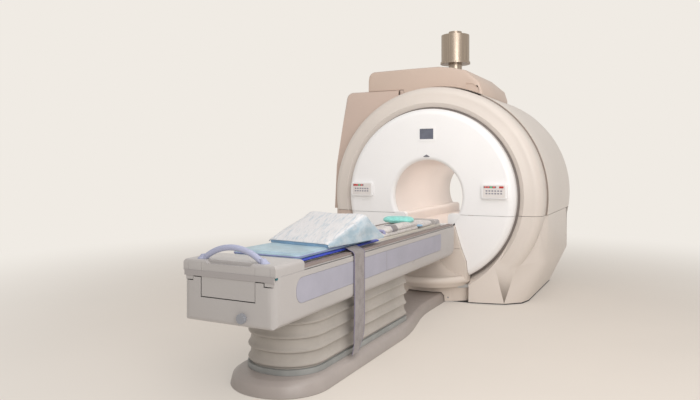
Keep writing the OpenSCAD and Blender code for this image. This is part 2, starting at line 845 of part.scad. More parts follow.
// Cross-section of the bridge: raised arm rests each side of the tabletop's trough
module bridge_section(r) {
    difference() {
        intersection() {
            translate([0, axis_h]) circle(r = r, $fn = 128);
            translate([-r, axis_h - r]) square([2*r, arm_z - axis_h + r]);
        }
        translate([-trough_w, trough_z]) square([2*trough_w, 200]);
        for (s = [-1, 1]) translate([s*(trough_w + arm_r), arm_z - arm_r]) difference() {
            translate([s > 0 ? -arm_r - 1 : 0, 0]) square(arm_r + 1);
            circle(r = arm_r);
        }
    }
}

bridge_y = 12;

// Table guide that fills the bottom of the tunnel
module bore_bridge() {
    color("linen") front_plate(bridge_y + 50, gantry_l - 70) bridge_section(bridge_r);
}

// Front end of the bridge, which closes the tunnel's lip below the arm rests
module bridge_apron() {
    color("white") intersection() {
        front_plate(-1, bridge_y + 50 - seat) bridge_section(throat_r + lip_r - cover_gap);
        about_bore(concat([[0, -2]], [[lip_c[0] - cover_gap, -2]],
            arc(lip_c, lip_r + cover_gap, 265, 185, 8), [[bridge_r, liner_y], [0, liner_y]]));
    }
}

// Couch base

// Half width of the plinth at y, easing in towards the nose
taper_0 = -1450;
taper_1 = -450;
function plinth_x(y) = y < taper_0 ? plinth_w : y > taper_1 ? plinth_neck
    : (plinth_w + plinth_neck)/2 + (plinth_w - plinth_neck)/2*cos(180*(y - taper_0)/(taper_1 - taper_0));

plinth_r = 320;
plinth_end = 60;
taper_n = 12;
neck_share = 0.5;
function plinth_in(y) = neck_share + (1 - neck_share)*(plinth_x(y) - plinth_neck)/(plinth_w - plinth_neck);
function plinth_side(inset) = concat(
    arc([plinth_w - plinth_r, plinth_r - plinth_foot], plinth_r - inset, -90, 0, 14),
    [for (i = [0:taper_n]) let (y = taper_0 + (taper_1 - taper_0)*i/taper_n)
        [plinth_x(y) - inset*plinth_in(y), y]],
    [[plinth_neck - inset*neck_share, plinth_end]]);
function plinth_plan(inset) = let (side = plinth_side(inset))
    concat(side, [for (i = [len(side) - 1:-1:0]) [-side[i][0], side[i][1]]]);

// Rounded rectangle of the bellows and its collars, grown by d
bellows_r = 245;
bellows_head_r = 50;
function bellows_plan(d) = let (w = bellows_w + d, y0 = -bellows_foot - d, y1 = -bellows_head + d,
    r0 = bellows_r + d, r1 = max(bellows_head_r + d, 10)) concat(
    arc([w - r0, y0 + r0], r0, -90, 0, 10), arc([w - r1, y1 - r1], r1, 0, 90, 4),
    arc([r1 - w, y1 - r1], r1, 90, 180, 4), arc([r0 - w, y0 + r0], r0, 180, 270, 10));

base_t = 12;
column_y = [-2420, -1640];
column_a = [120, 100, 80];
column_step = 20;

// Steel plate on the floor that carries the lift, with its four anchor holes
anchor_x = 260;
anchor_y = 1180;
anchor_d = 14;
base_mid = -2030;
plinth_t = 8;
base_in = plinth_t + plinth_lean*(base_t + 1)/(bevel_z - 3) + seat;
module couch_base() {
    color("dimgray") difference() {
        union() {
            block([-150, 195 - plinth_foot, 0], [150, base_y0 + 120 - seat, base_t]);
            block([-165, 195 - plinth_foot, 0], [165, -bellows_head - 190, base_t]);
            for (y = [-2600, -1500]) block([base_in - plinth_w, y, 0], [plinth_w - base_in, y + 60, base_t]);
        }
        for (x = [-anchor_x/2, anchor_x/2]) for (y = [-anchor_y/2, anchor_y/2])
            translate([x, base_mid + y, -1]) cylinder(d = anchor_d, h = base_t + 2, $fn = 24);
    }
}

// Hollow cover of the couch base, with leaning sides and a bevelled edge
module plinth_cover() {
    color("linen") difference() {
        skin([[0, plinth_plan(6)], [6, plinth_plan(0)], [bevel_z - 8, plinth_plan(plinth_lean - 2)],
            [bevel_z, plinth_plan(plinth_lean + 4)],
            [plinth_h - 3, plinth_plan(plinth_bevel - 8)], [plinth_h, plinth_plan(plinth_bevel + 4)]]);
        skin([[-1, plinth_plan(plinth_t)], [bevel_z - 4, plinth_plan(plinth_lean + plinth_t)],
            [plinth_h - plinth_t, plinth_plan(plinth_bevel + 6)]]);
        translate([0, 0, 50]) linear_extrude(100) polygon(bellows_plan(-60));
    }
}

collar_h = 34;
collar_d = 2;
crease = 12;
bellows_0 = plinth_h + collar_h;
bellows_1 = couch_bottom - seat;
fold_pitch = (bellows_1 - bellows_0 - crease)/folds;

// Depth of the bellows' wall at each height of one fold, both as fractions: an undercut, a bead
// that stands out and a wide hollow band
fold_shape = [[0, -0.92], [0.035, -0.3], [0.08, -0.08], [0.15, 0], [0.24, -0.08], [0.34, -0.38],
    [0.5, -0.7], [0.74, -0.86]];

// Folded bellows between the plinth and the couch
module bellows() {
    color("blanchedalmond") difference() {
        skin(concat([[bellows_0 + seat, bellows_plan(-0.8*fold_d)]],
            [for (k = [0:folds - 1]) for (f = fold_shape)
                [bellows_0 + crease + (k + f[0])*fold_pitch, bellows_plan(f[1]*fold_d)]],
            [[bellows_1, bellows_plan(-0.9*fold_d)]]));
        translate([0, 0, bellows_0 - 1]) linear_extrude(bellows_1 - bellows_0 + 2)
            polygon(bellows_plan(-fold_d - 3));
    }
}

// Collar that holds the bellows on the plinth
module bellows_collar() {
    color("darkkhaki") translate([0, 0, plinth_h]) difference() {
        linear_extrude(collar_h) polygon(bellows_plan(collar_d));
        translate([0, 0, -1]) linear_extrude(collar_h + 2) polygon(bellows_plan(-fold_d - 3));
    }
}

// One square tube of each lift column
module tube(a, y, z0, z1) {
    translate([0, y, z0]) difference() {
        linear_extrude(z1 - z0) square(a, center = true);
        translate([0, 0, -1]) linear_extrude(z1 - z0 + 2) square(a - column_step + 2*seat, center = true);
    }
}

column_top = couch_bottom + 60;
outer_top = base_t + 268;

// Lowest tubes of the two lift columns, fixed to the base plate
module fixed_columns() {
    color("silver") for (y = column_y) {
        tube(column_a[0], y, base_t, outer_top);
    }
}

// Middle tubes, which rise half as far as the couch
module middle_columns() {
    color("gainsboro") for (y = column_y) {
        tube(column_a[1], y, base_t + lift_travel/2 + 6, column_top - lift_travel/2 - 40);
    }
}

// Top tubes, fixed under the couch frame
module top_columns() {
    color("silver") for (y = column_y) {
        tube(column_a[2], y, base_t + lift_travel + 12, column_top);
    }
}

// Couch body

shell_foot_r = 60;
shell_head_r = 180;
shell_side_r = 50;

// Form of the couch body, shrunk by d: side view, plan and end view together
module couch_form(d) {
    foot = -couch_foot + d;
    head = -couch_head - d;
    low = couch_bottom + d;
    w = couch_w - d;
    r = shell_foot_r - d;
    hr = shell_head_r - d;
    br = shell_side_r - d;
    intersection() {
        side_plate(-w, w) polygon(concat([[foot, couch_top]], arc([foot + 30, low + 30], 30, 180, 270, 6),
            arc([head - hr, low + hr], hr, 270, 360, 16), [[head, couch_top]]));
        translate([0, 0, low]) linear_extrude(couch_top - low) polygon(concat(
            arc([w - r, foot + r], r, -90, 0, 10), arc([w - 40, head - 40], 40, 0, 90, 6),
            arc([40 - w, head - 40], 40, 90, 180, 6), arc([r - w, foot + r], r, 180, 270, 10)));
        front_plate(foot, head) polygon(concat([[w, couch_top]],
            arc([w - br, low + br], br, 0, -90, 8), arc([br - w, low + br], br, 270, 180, 8), [[-w, couch_top]]));
    }
}

inlay_foot = -2996;
inlay_head = -500;
inlay_joint = -1740;
inlay_lo = 586;
inlay_hi = 732;
inlay_r = 66;
inlay_t = 3.5;

// Outline of the long side inlay, seen from the right: round at the foot end
module inlay_outline(grow) {
    offset(delta = grow) polygon(concat(
        arc([inlay_foot + inlay_r, inlay_lo + inlay_r], inlay_r, 180, 270, 8),
        arc([inlay_head - 40, inlay_lo + 40], 40, 270, 360, 6), [[inlay_head, inlay_hi]],
        arc([inlay_foot + inlay_r, inlay_hi - inlay_r], inlay_r, 90, 180, 8)));
}

tongue_w = 184;
tongue_z = 626;
tab_0 = 246;
tab_1 = 297;
tab_z = 716;
step_z = 738;

// Outline of the stepped tongue of the end cap, seen from the foot end
module tongue_outline(grow) {
    offset(delta = grow) {
        translate([-tongue_w, tongue_z]) square([2*tongue_w, couch_top - tongue_z + 20]);
        translate([-tab_1 - 10, step_z]) square([2*tab_1 + 20, couch_top - step_z + 20]);
        for (s = [-1, 1]) translate([s*(tab_0 + tab_1)/2 - (tab_1 - tab_0)/2, tab_z])
            square([tab_1 - tab_0, couch_top - tab_z]);
    }
}

knob_x = 105;
knob_z = 532;
latch_y = -1204;

// Moulded body of the couch: an open-topped tub
module couch_shell() {
    color("antiquewhite") difference() {
        couch_form(0);
        difference() {
            couch_form(shell_t);
            translate([-couch_w, -couch_foot, couch_bottom]) cube([2*couch_w, couch_foot, shell_t]);
        }
        translate([0, 0, couch_top - 20]) linear_extrude(40) polygon([
            [-couch_w + shell_t, -couch_foot + shell_t + 40], [couch_w - shell_t, -couch_foot + shell_t + 40],
            [couch_w - shell_t, -couch_head - shell_t - 40], [-couch_w + shell_t, -couch_head - shell_t - 40]]);
        both_sides() side_plate(couch_w - inlay_t, couch_w + 1) inlay_outline(1.5);
        both_sides() side_plate(couch_w - 4, couch_w + 1)
            polygon([[latch_y - 34, inlay_lo], [latch_y + 34, inlay_lo], [latch_y + 20, 566], [latch_y - 8, 560]]);
        front_plate(-couch_foot - 1, -couch_foot + shell_t + 8) tongue_outline(5);
        translate([0, 0, couch_bottom - 1]) linear_extrude(shell_t + 2) polygon(bellows_plan(-60));
        translate([knob_x, -couch_foot - 1, knob_z]) rotate([-90, 0, 0]) cylinder(d = 12.6, h = shell_t + 4, $fn = 32);
    }
}

// Grey-violet inlays in both flanks, each in two lengths
module side_inlays() {
    color("lightsteelblue") difference() {
        both_sides() side_plate(couch_w - inlay_t + 0.2, couch_w + 0.8) inlay_outline(-0.5);
        block([-couch_w - 5, inlay_joint - 1, 0], [couch_w + 5, inlay_joint + 1, 2000]);
    }
}

frame_x0 = 196;
frame_x1 = 240;
frame_low = couch_bottom + shell_t + seat;
frame_y0 = -3120;
frame_y1 = -240;
frame_top = table_z - seat;

// Welded frame inside the couch: two long channels, cross members and the guide of the belt
module couch_frame() {
    color("slategray") union() {
        both_sides() difference() {
            block([frame_x0, frame_y0, column_top], [frame_x1, frame_y1, frame_top]);
            block([frame_x0 + 6, frame_y0 - 1, column_top + 8], [frame_x1 + 1, frame_y1 + 1, frame_top - 10]);
        }
        translate([-frame_x0 - 3, idler_y, belt_z]) rotate([0, 90, 0]) cylinder(d = 24, h = 2*frame_x0 + 6, $fn = 32);
        translate([-10, idler_y, belt_z]) rotate([0, 90, 0]) cylinder(r = pulley_r, h = belt_w, $fn = 64);
        for (y = column_y) block([-frame_x1, y - 110, column_top], [frame_x1, y + 110, column_top + 14]);
        for (y = [frame_y0, frame_y1 - 60]) block([-frame_x1, y, column_top], [frame_x1, y + 60, column_top + 14]);
        both_sides() for (y = [frame_y0 + 10, base_mid + 300, frame_y1 - 240])
            block([frame_x0 + 6, y, frame_low], [frame_x1 - 6, y + 40, column_top]);
    }
}

deck_h = 8.5;
deck_in = frame_x1 + seat;
deck_out = 310;
cap_l = 300;

// Flat top covers beside the tabletop's path, on brackets that stand on the couch body's floor
module top_deck() {
    color("antiquewhite") both_sides() {
        block([deck_in, -couch_foot + cap_l + 10, couch_top + seat],
            [deck_out, -couch_head - 24, couch_top + seat + deck_h]);
        for (y = [-2800, -1900, -1100, -300])
            block([deck_in, y, frame_top - 40], [deck_in + 6, y + 60, couch_top + 1]);
    }
}

rail_0 = 262;
rail_1 = 306;
rail_h = 15;
groove_w = 6;

// Grooved rails for straps and accessories, one each side
module accessory_rails() {
    color("rosybrown") both_sides() translate([rail_0, -couch_foot + cap_l + 20, couch_top + deck_h + 2*seat])
        difference() {
            cube([rail_1 - rail_0, couch_foot - couch_head - cap_l - 54, rail_h]);
            for (x = [8, 19, 30]) translate([x, -1, rail_h - 5])
                cube([groove_w, couch_foot, 6]);
        }
}

knob_d = 56;
knob_l = 24;

// Round release knob at the foot end, with finger flutes and a shaft through the wall
module foot_knob() {
    color("gray") translate([knob_x, -couch_foot - seat, knob_z]) rotate([90, 0, 0]) {
        difference() {
            cylinder(d = knob_d, h = knob_l, $fn = 64);
            for (a = [0:30:330]) rotate([0, 0, a]) translate([knob_d/2 + 3, 0, -1]) cylinder(r = 6, h = knob_l + 2, $fn = 24);
        }
        translate([0, 0, -shell_t - 12]) cylinder(d = 12, h = shell_t + 12.5, $fn = 32);
    }
}

pulley_r = 30;
pulley_y = -2840;
belt_z = 718;

// Motor with gear head that drives the tabletop
module drive_motor() {
    color("dimgray") union() {
        translate([-140, pulley_y, belt_z]) rotate([0, 90, 0]) cylinder(d = 96, h = 110, $fn = 48);
        translate([-30.3, pulley_y, belt_z]) rotate([0, 90, 0]) cylinder(d = 16, h = 60, $fn = 32);
        block([-120, pulley_y - 50, frame_low], [-60, pulley_y + 50, belt_z - 40]);
    }
}

belt_w = 30;
idler_y = -420;

// Toothed pulley on the motor's shaft
module drive_pulley() {
    color("silver") translate([-10, pulley_y, belt_z]) rotate([0, 90, 0]) difference() {
        cylinder(r = pulley_r, h = belt_w, $fn = 64);
        translate([0, 0, -1]) cylinder(d = 16.1, h = belt_w + 2, $fn = 32);
        for (a = [0:15:345]) rotate([0, 0, a]) translate([pulley_r, 0, -1]) cylinder(r = 2, h = belt_w + 2, $fn = 16);
    }
}

// Belt under the tabletop, a flat loop round the pulley and the idler
module drive_belt() {
    color("black") side_plate(-10, 20) difference() {
        hull() for (y = [pulley_y, idler_y]) translate([y, belt_z]) circle(r = pulley_r + 4.3, $fn = 48);
        hull() for (y = [pulley_y, idler_y]) translate([y, belt_z]) circle(r = pulley_r + 0.3, $fn = 48);
    }
}

// Tabletop

table_foot = -2960;
table_head = -190;
table_top = table_z + table_t;
clamp_y = -2760;

// Tabletop with a shallow hollow along it, and the clamp that holds the belt
module tabletop() {
    color("ivory") union() {
        front_plate(table_foot, table_head) polygon(concat(
            [[-table_w, table_z], [table_w, table_z], [table_w, table_top]],
            [for (i = [1:11]) let (x = table_w - 20 - (2*table_w - 40)*i/12) [x, table_top - 7*sin(180*i/12)]],
            [[-table_w, table_top]]));
        block([-10, clamp_y, belt_z + pulley_r + 4.6], [20, clamp_y + 70, table_z - seat]);
    }
}

cap_w = 317;
cap_top = 832;
cap_r = 26;
grip_w = 146;
seam_x = 282;
face_top = 770;
cap_z = couch_top + seat;

// Hood over the tabletop's foot end, with a stepped tongue in the couch's end wall
module table_end_cap() {
    color("antiquewhite") difference() {
        union() {
            intersection() {
                side_plate(-cap_w, cap_w) polygon(concat(
                    [[-couch_foot + 4, cap_z], [-couch_foot + 4, cap_top - 16], [-couch_foot + 10, cap_top - 5],
                    [-couch_foot + 24, cap_top]], arc([-couch_foot + cap_l - 30, cap_top - 30], 30, 90, 0, 6),
                    [[-couch_foot + cap_l, cap_z]]));
                front_plate(-couch_foot, -couch_foot + cap_l) polygon(concat([[cap_w, cap_z]],
                    arc([cap_w - cap_r, cap_top - cap_r], cap_r, 0, 90, 8),
                    arc([cap_r - cap_w, cap_top - cap_r], cap_r, 90, 180, 8), [[-cap_w, cap_z]]));
            }
            front_plate(-couch_foot + 4, -couch_foot + 14) tongue_outline(0);
        }
        block([-frame_x1 - 3, table_foot - 1, 0], [frame_x1 + 3, 0, table_top + 1]);
        block([-cap_w + 14, -couch_foot + 50, 0], [cap_w - 14, -couch_foot + cap_l - 8, cap_top - 8]);
        front_plate(-couch_foot - 1, -couch_foot + 34) polygon([[-grip_w - 22, cap_top + 1],
            [-grip_w, cap_top - 20], [grip_w, cap_top - 20], [grip_w + 22, cap_top + 1]]);
        both_sides() for (x = [tongue_w, seam_x])
            block([x - 0.8, -couch_foot, face_top], [x + 0.8, -couch_foot + 6, cap_top - 9]);
    }
}

// Rubber buffers under the hood's outer corners, beside the rounded corners of the couch body
module cap_buffers() {
    color("teal") both_sides() difference() {
        block([cap_w - 18, -couch_foot + 14 + seat, couch_top - 14],
            [cap_w - 2, -couch_foot + 32, cap_z - seat]);
        translate([couch_w - shell_foot_r, shell_foot_r - couch_foot, 0])
            cylinder(r = shell_foot_r + seat, h = couch_top + 1);
    }
}

// Grey front plate of the end cap
module end_cap_face() {
    color("gainsboro") front_plate(-couch_foot, -couch_foot + 4) intersection() {
        translate([-cap_w + 6, step_z]) square([2*cap_w - 12, face_top - step_z]);
        union() {
            translate([-cap_w, cap_z]) square([2*cap_w, 100]);
            tongue_outline(0);
        }
    }
}

handle_y = -3150;
handle_d = 34;
handle_top = 906;
handle_r = 317;
handle_a = 44;

// Arched tube handle across the end cap
module tube_handle() {
    color("lightsteelblue") difference() {
        translate([0, handle_y, handle_top - handle_r]) rotate([90, 0, 0]) rotate([0, 0, handle_a])
            rotate_extrude(angle = 180 - 2*handle_a, $fn = 96) translate([handle_r, 0])
                circle(d = handle_d, $fn = 32);
        block([-400, handle_y - 50, 0], [400, handle_y + 50, cap_top + seat]);
    }
}

// On the tabletop

mat_z = table_top + seat;
mat_t = 16;
mat_w = 520;
mat_l = 1170;

// Dark blue mat
module blue_mat() {
    color("royalblue") translate([0, -2290, mat_z]) linear_extrude(mat_t) polygon(round_rect(mat_w, mat_l, 30));
}

pad_z = mat_z + mat_t + seat;
knee_t = 22;
knee_w = 500;
knee_l = 1080;

// Light blue pad on the mat
module knee_pad() {
    color("powderblue") translate([5, -2330, pad_z]) linear_extrude(knee_t) polygon(round_rect(knee_w, knee_l, 40));
}

wedge_z = pad_z + knee_t + seat;
wedge_w = 500;
wedge_l = 690;
wedge_h = 186;
wedge_turn = -8;

// Wedge cushion for the knees, lying a little askew
module wedge_cushion() {
    color("lightblue") translate([52, -2130, wedge_z]) rotate([0, 0, wedge_turn])
        side_plate(-wedge_w/2, wedge_w/2) polygon([[-wedge_l/2, 0], [wedge_l/2, 0], [wedge_l/2 - 8, 14],
            [wedge_l/2 - 222, wedge_h - 10], [wedge_l/2 - 250, wedge_h], [-wedge_l/2 - 6, 24]]);
}

roll_z = mat_z;
roll_h = 72;

// Flexible surface coil, folded up on the tabletop: a mat, a long roll on it, a pad at its end
module flex_coil() {
    color("whitesmoke") translate([0, 0, roll_z]) {
        translate([70, -1130, 0]) linear_extrude(30) polygon(round_rect(280, 780, 40));
        translate([150, -1100, 0]) linear_extrude(roll_h) polygon(round_rect(120, 720, 55));
        translate([110, -520, 0]) linear_extrude(44) polygon(round_rect(200, 360, 60));
    }
}

// Teal oval cushion that lies on the folded coil
module oval_cushion() {
    color("turquoise") translate([60, -880, roll_z + roll_h + seat]) linear_extrude(34)
        polygon(round_rect(300, 230, 110));
}

// Moulded block at the head end of the tabletop
module head_block() {
    color("antiquewhite") front_plate(table_head - 110, table_head) translate([0, table_top + seat])
        polygon([[-205, 0], [205, 0], [200, 30], [185, 42], [-185, 42], [-200, 30]]);
}

strap_w = 180;
strap_t = 3;
strap_x = couch_w + 6;
strap_y = -2215;
strap_z = mat_z + mat_t + seat;
strap_end = plinth_h + 22;

// Webbing strap from the mat's edge over the rail and down beside the couch
module body_strap() {
    color("gray") front_plate(strap_y - strap_w/2, strap_y + strap_w/2) polygon([
        [257, strap_z], [263, strap_z], [rail_1 + 5, strap_z - 20], [strap_x, strap_z - 34],
        [strap_x, strap_end], [strap_x + strap_t, strap_end], [strap_x + strap_t, strap_z - 32],
        [rail_1 + 6, strap_z - 17], [264, strap_z + strap_t], [257, strap_z + strap_t]]);
}

base_frame();
magnet_supports();
magnet_vessel();
gradient_coil();
body_coil();
bore_liner();
front_upper_cover();
front_right_cover();
front_left_cover();
nose_upper_cover();
nose_lower_cover();
ring_cover();
right_corner_cover();
left_corner_cover();
left_shoulder_cover();
barrel_cover();
turret_cover();
rear_upper_cover();
rear_lower_cover();
vent_pipe();
vent_sleeve();
screen_bezel();
screen();
laser_window();
left_panel();
right_panel();
left_keypad();
right_keypad();
left_stop_key();
right_stop_key();
bore_bridge();
bridge_apron();
couch_base();
plinth_cover();
bellows();
bellows_collar();
fixed_columns();
middle_columns();
top_columns();
couch_frame();
couch_shell();
side_inlays();
top_deck();
accessory_rails();
foot_knob();
drive_motor();
drive_pulley();
drive_belt();
tabletop();
table_end_cap();
end_cap_face();
cap_buffers();
tube_handle();
blue_mat();
knee_pad();
wedge_cushion();
flex_coil();
oval_cushion();
body_strap();
head_block();
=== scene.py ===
"""Magnetic resonance scanner with its couch: the looks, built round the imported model.

Metres, +Z up. The tunnel runs along +Y, away from the couch; +X is right as seen from the couch's
foot end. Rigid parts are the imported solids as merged, smooth-shaded copies with a finish; the soft
goods, the bellows, the webbing and the small fittings are made here.
"""
import json
import math

import bmesh
import bpy
from mathutils import Matrix, Vector, noise
from mathutils.bvhtree import BVHTree

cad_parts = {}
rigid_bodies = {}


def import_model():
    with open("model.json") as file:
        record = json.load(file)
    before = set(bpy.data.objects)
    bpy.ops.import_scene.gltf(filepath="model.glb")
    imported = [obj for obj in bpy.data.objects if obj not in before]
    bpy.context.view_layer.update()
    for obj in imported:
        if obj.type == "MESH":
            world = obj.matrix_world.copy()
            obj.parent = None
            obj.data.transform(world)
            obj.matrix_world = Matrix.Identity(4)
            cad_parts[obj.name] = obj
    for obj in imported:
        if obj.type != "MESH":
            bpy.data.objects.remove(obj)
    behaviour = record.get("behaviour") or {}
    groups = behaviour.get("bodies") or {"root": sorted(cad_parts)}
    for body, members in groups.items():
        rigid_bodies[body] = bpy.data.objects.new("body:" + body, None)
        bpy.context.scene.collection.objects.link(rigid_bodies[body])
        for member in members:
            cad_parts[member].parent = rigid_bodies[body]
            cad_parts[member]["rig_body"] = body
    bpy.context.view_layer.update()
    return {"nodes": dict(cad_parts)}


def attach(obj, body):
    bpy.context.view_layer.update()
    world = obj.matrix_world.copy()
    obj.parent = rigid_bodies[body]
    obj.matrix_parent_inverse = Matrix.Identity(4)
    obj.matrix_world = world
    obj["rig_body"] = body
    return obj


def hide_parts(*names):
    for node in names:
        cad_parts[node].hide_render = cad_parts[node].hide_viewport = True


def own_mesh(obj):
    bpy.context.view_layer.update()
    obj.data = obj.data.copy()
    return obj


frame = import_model()
nodes = frame["nodes"]
scene = bpy.context.scene


def assign(thing, **values):
    for key, value in values.items():
        setattr(thing, key, value)


# Camera: where the photographer stood in the doorway, level, turned 27 degrees to the left

CAMERA_AT = (2.168, -5.961, 1.376)
CAMERA_TURN = 0.471
LENS = 32.04
SHIFT_DOWN = -0.052

lens = bpy.data.cameras.new("camera")
assign(lens, sensor_width=36, lens=LENS, shift_y=SHIFT_DOWN, clip_start=0.05, clip_end=100)
camera = bpy.data.objects.new("camera", lens)
camera.location = CAMERA_AT
camera.rotation_euler = (math.pi / 2, 0, CAMERA_TURN)
scene.collection.objects.link(camera)
scene.camera = camera


# Finishes

def tint(r, g, b):
    """Linear colour of 8-bit values."""
    return (*(c / 255 / 12.92 if c <= 10 else ((c / 255 + 0.055) / 1.055) ** 2.4 for c in (r, g, b)), 1)


class Finish:
    """A material with short calls for the nodes that its pattern needs."""

    def __init__(self, name, rgb, rough, **sockets):
        self.name, self.base = name, rgb
        self.material = bpy.data.materials.new(name)
        self.material.use_nodes = True
        self.tree = self.material.node_tree
        self.shader = self.tree.nodes["Principled BSDF"]
        self.rgb = tint(*rgb)
        self.shader.inputs["Base Color"].default_value = self.rgb
        self.shader.inputs["Roughness"].default_value = rough
        for socket, value in sockets.items():
            self.shader.inputs[socket.replace("_", " ")].default_value = value
        self.place = self.node("ShaderNodeTexCoord").outputs["Object"]
        self.material.diffuse_color = self.rgb

    def node(self, kind, inputs=None, **settings):
        """A node with its settings and inputs; an input given as a socket is linked."""
        made = self.tree.nodes.new(kind)
        assign(made, **settings)
        for key, value in (inputs or {}).items():
            if isinstance(value, bpy.types.NodeSocket):
                self.tree.links.new(value, made.inputs[key])
            else:
                made.inputs[key].default_value = value
        return made

    def cloud(self, scale, detail=2, rough=0.5, place=None):
        """Soft noise over the piece's own place, about 0.5."""
        return self.node("ShaderNodeTexNoise", {"Vector": place or self.place, "Scale": scale,
                                                "Detail": detail, "Roughness": rough}).outputs["Fac"]

    def drift(self, scale, detail, low=0, high=1):
        """Soft noise whose usual range, 0.3 to 0.7, runs from low to high."""
        return self.span(self.cloud(scale, detail), 0.3, 0.7, low, high)

    def cells(self, scale):
        """Distance from the middles of small random cells: the grain of moulded skins."""
        return self.node("ShaderNodeTexVoronoi", {"Vector": self.place, "Scale": scale}).outputs["Distance"]

    def bands(self, place, scale, distortion, way, **inputs):
        """Even stripes along one direction."""
        given = {"Vector": place, "Scale": scale, "Distortion": distortion, **inputs}
        return self.node("ShaderNodeTexWave", given, bands_direction=way).outputs["Fac"]

    def span(self, value, low, high, to_low, to_high):
        return self.node("ShaderNodeMapRange", {"Value": value, "From Min": low, "From Max": high,
                                                "To Min": to_low, "To Max": to_high}).outputs["Result"]

    def math(self, kind, a, b=0.0):
        return self.node("ShaderNodeMath", {0: a, 1: b}, operation=kind).outputs["Value"]

    def mix(self, factor, a, b):
        """Two colours mixed; they are the node's sockets 6 and 7."""
        return self.node("ShaderNodeMix", {0: factor, 6: a, 7: b}, data_type="RGBA").outputs[2]

    def axis(self, vector, name):
        return self.node("ShaderNodeSeparateXYZ", {"Vector": vector}).outputs[name]

    def tone(self, by):
        """The finish's own colour, darker or lighter."""
        return tint(*(max(0, min(255, c * by)) for c in self.base))

    def paint(self, colour=None, rough=None):
        if colour:
            self.tree.links.new(colour, self.shader.inputs["Base Color"])
        if rough:
            self.tree.links.new(rough, self.shader.inputs["Roughness"])

    def relief(self, height, strength, depth):
        bump = self.node("ShaderNodeBump", {"Height": height, "Strength": strength, "Distance": depth})
        self.tree.links.new(bump.outputs["Normal"], self.shader.inputs["Normal"])


def moulded(name, rgb, rough, dust, floor_darkening=0.0):
    """Lacquered moulding: faint orange peel, slow drift of tone, and a darkening towards the floor."""
    f = Finish(name, rgb, rough, Coat_Weight=0.12, Coat_Roughness=0.22, Specular_IOR_Level=0.45)
    colour = f.mix(f.drift(1.6, 3), f.tone(1 - dust / 2), f.tone(1 + dust / 3))
    fine = f.cloud(38, 4, 0.65)
    colour = f.mix(f.span(fine, 0.56, 0.8, 0, dust * 2), colour, f.tone(0.86))
    if floor_darkening:
        # Darker towards the floor, over the lowest 0.16 m, with a noisy upper edge.
        height = f.math("ADD", f.axis(f.place, "Z"), f.span(f.cloud(9, 3), 0, 1, -0.06, 0.06))
        colour = f.mix(f.span(height, 0.16, 0.0, 0, floor_darkening), colour, f.tone(0.62))
    f.paint(colour, f.span(fine, 0.3, 0.7, rough - 0.04, rough + 0.06))
    f.relief(f.cloud(520), 0.05, 0.001)
    return f


def textured(name, rgb, rough=0.55, grain=260, depth=0.0006, spread=0.1):
    """Spark-eroded plastic: a fine pebble grain."""
    f = Finish(name, rgb, rough, Specular_IOR_Level=0.35)
    f.paint(f.mix(f.drift(5, 3), f.tone(1 - spread), f.tone(1 + spread / 2)),
            f.drift(60, 3, rough - 0.06, rough + 0.07))
    f.relief(f.cells(grain), 0.35, depth)
    return f


def brushed(name, rgb, rough, along=(1, 1, 60), streak=8.0, mix=0.35):
    """Metal with the streaks of its grinding or drawing."""
    f = Finish(name, rgb, rough, Metallic=1.0, Anisotropic=0.3)
    drawn = f.node("ShaderNodeMapping", {"Vector": f.place, "Scale": along}).outputs["Vector"]
    lines = f.cloud(streak, 5, 0.7, drawn)
    f.paint(f.mix(f.span(lines, 0.35, 0.7, 0, mix), f.rgb, f.tone(0.62)),
            f.span(lines, 0.3, 0.7, rough - 0.07, rough + 0.12))
    f.relief(lines, 0.12, 0.0004)
    return f


def vinyl(name, rgb):
    """Wipe-clean upholstery: leather grain, soft creases with painted shade in their hollows, a dull shine.
    """
    f = Finish(name, rgb, 0.42, Specular_IOR_Level=0.4, Sheen_Weight=0.08)
    folds = f.cloud(11, 4, 0.55)
    # Painted shade: the hollows of the folds are darker, their crests lighter.
    f.paint(f.mix(f.span(folds, 0.35, 0.68, 0, 1), f.tone(0.93), f.tone(1.05)),
            f.drift(40, 3, 0.37, 0.50))
    grain = f.math("MULTIPLY", f.cells(420.0), 0.12)
    f.relief(f.math("ADD", grain, f.math("MULTIPLY", folds, 2.0)), 0.5, 0.002)
    return f


def woven(name, rgb, threads=900.0):
    """Cloth: over-and-under weave along the piece's own two directions, with slubs."""
    f = Finish(name, rgb, 0.85, Sheen_Weight=0.2, Specular_IOR_Level=0.2)
    weave = f.math("MULTIPLY", *(f.bands(f.place, threads / 6.28, 0.6, way, Detail=1.0) for way in "YZ"))
    base = f.mix(f.drift(30, 4), f.tone(0.93), f.tone(1.04))
    f.paint(f.mix(f.span(weave, 0, 0.8, 0.45, 0), base, f.tone(0.72)))
    f.relief(weave, 0.4, 0.0006)
    return f


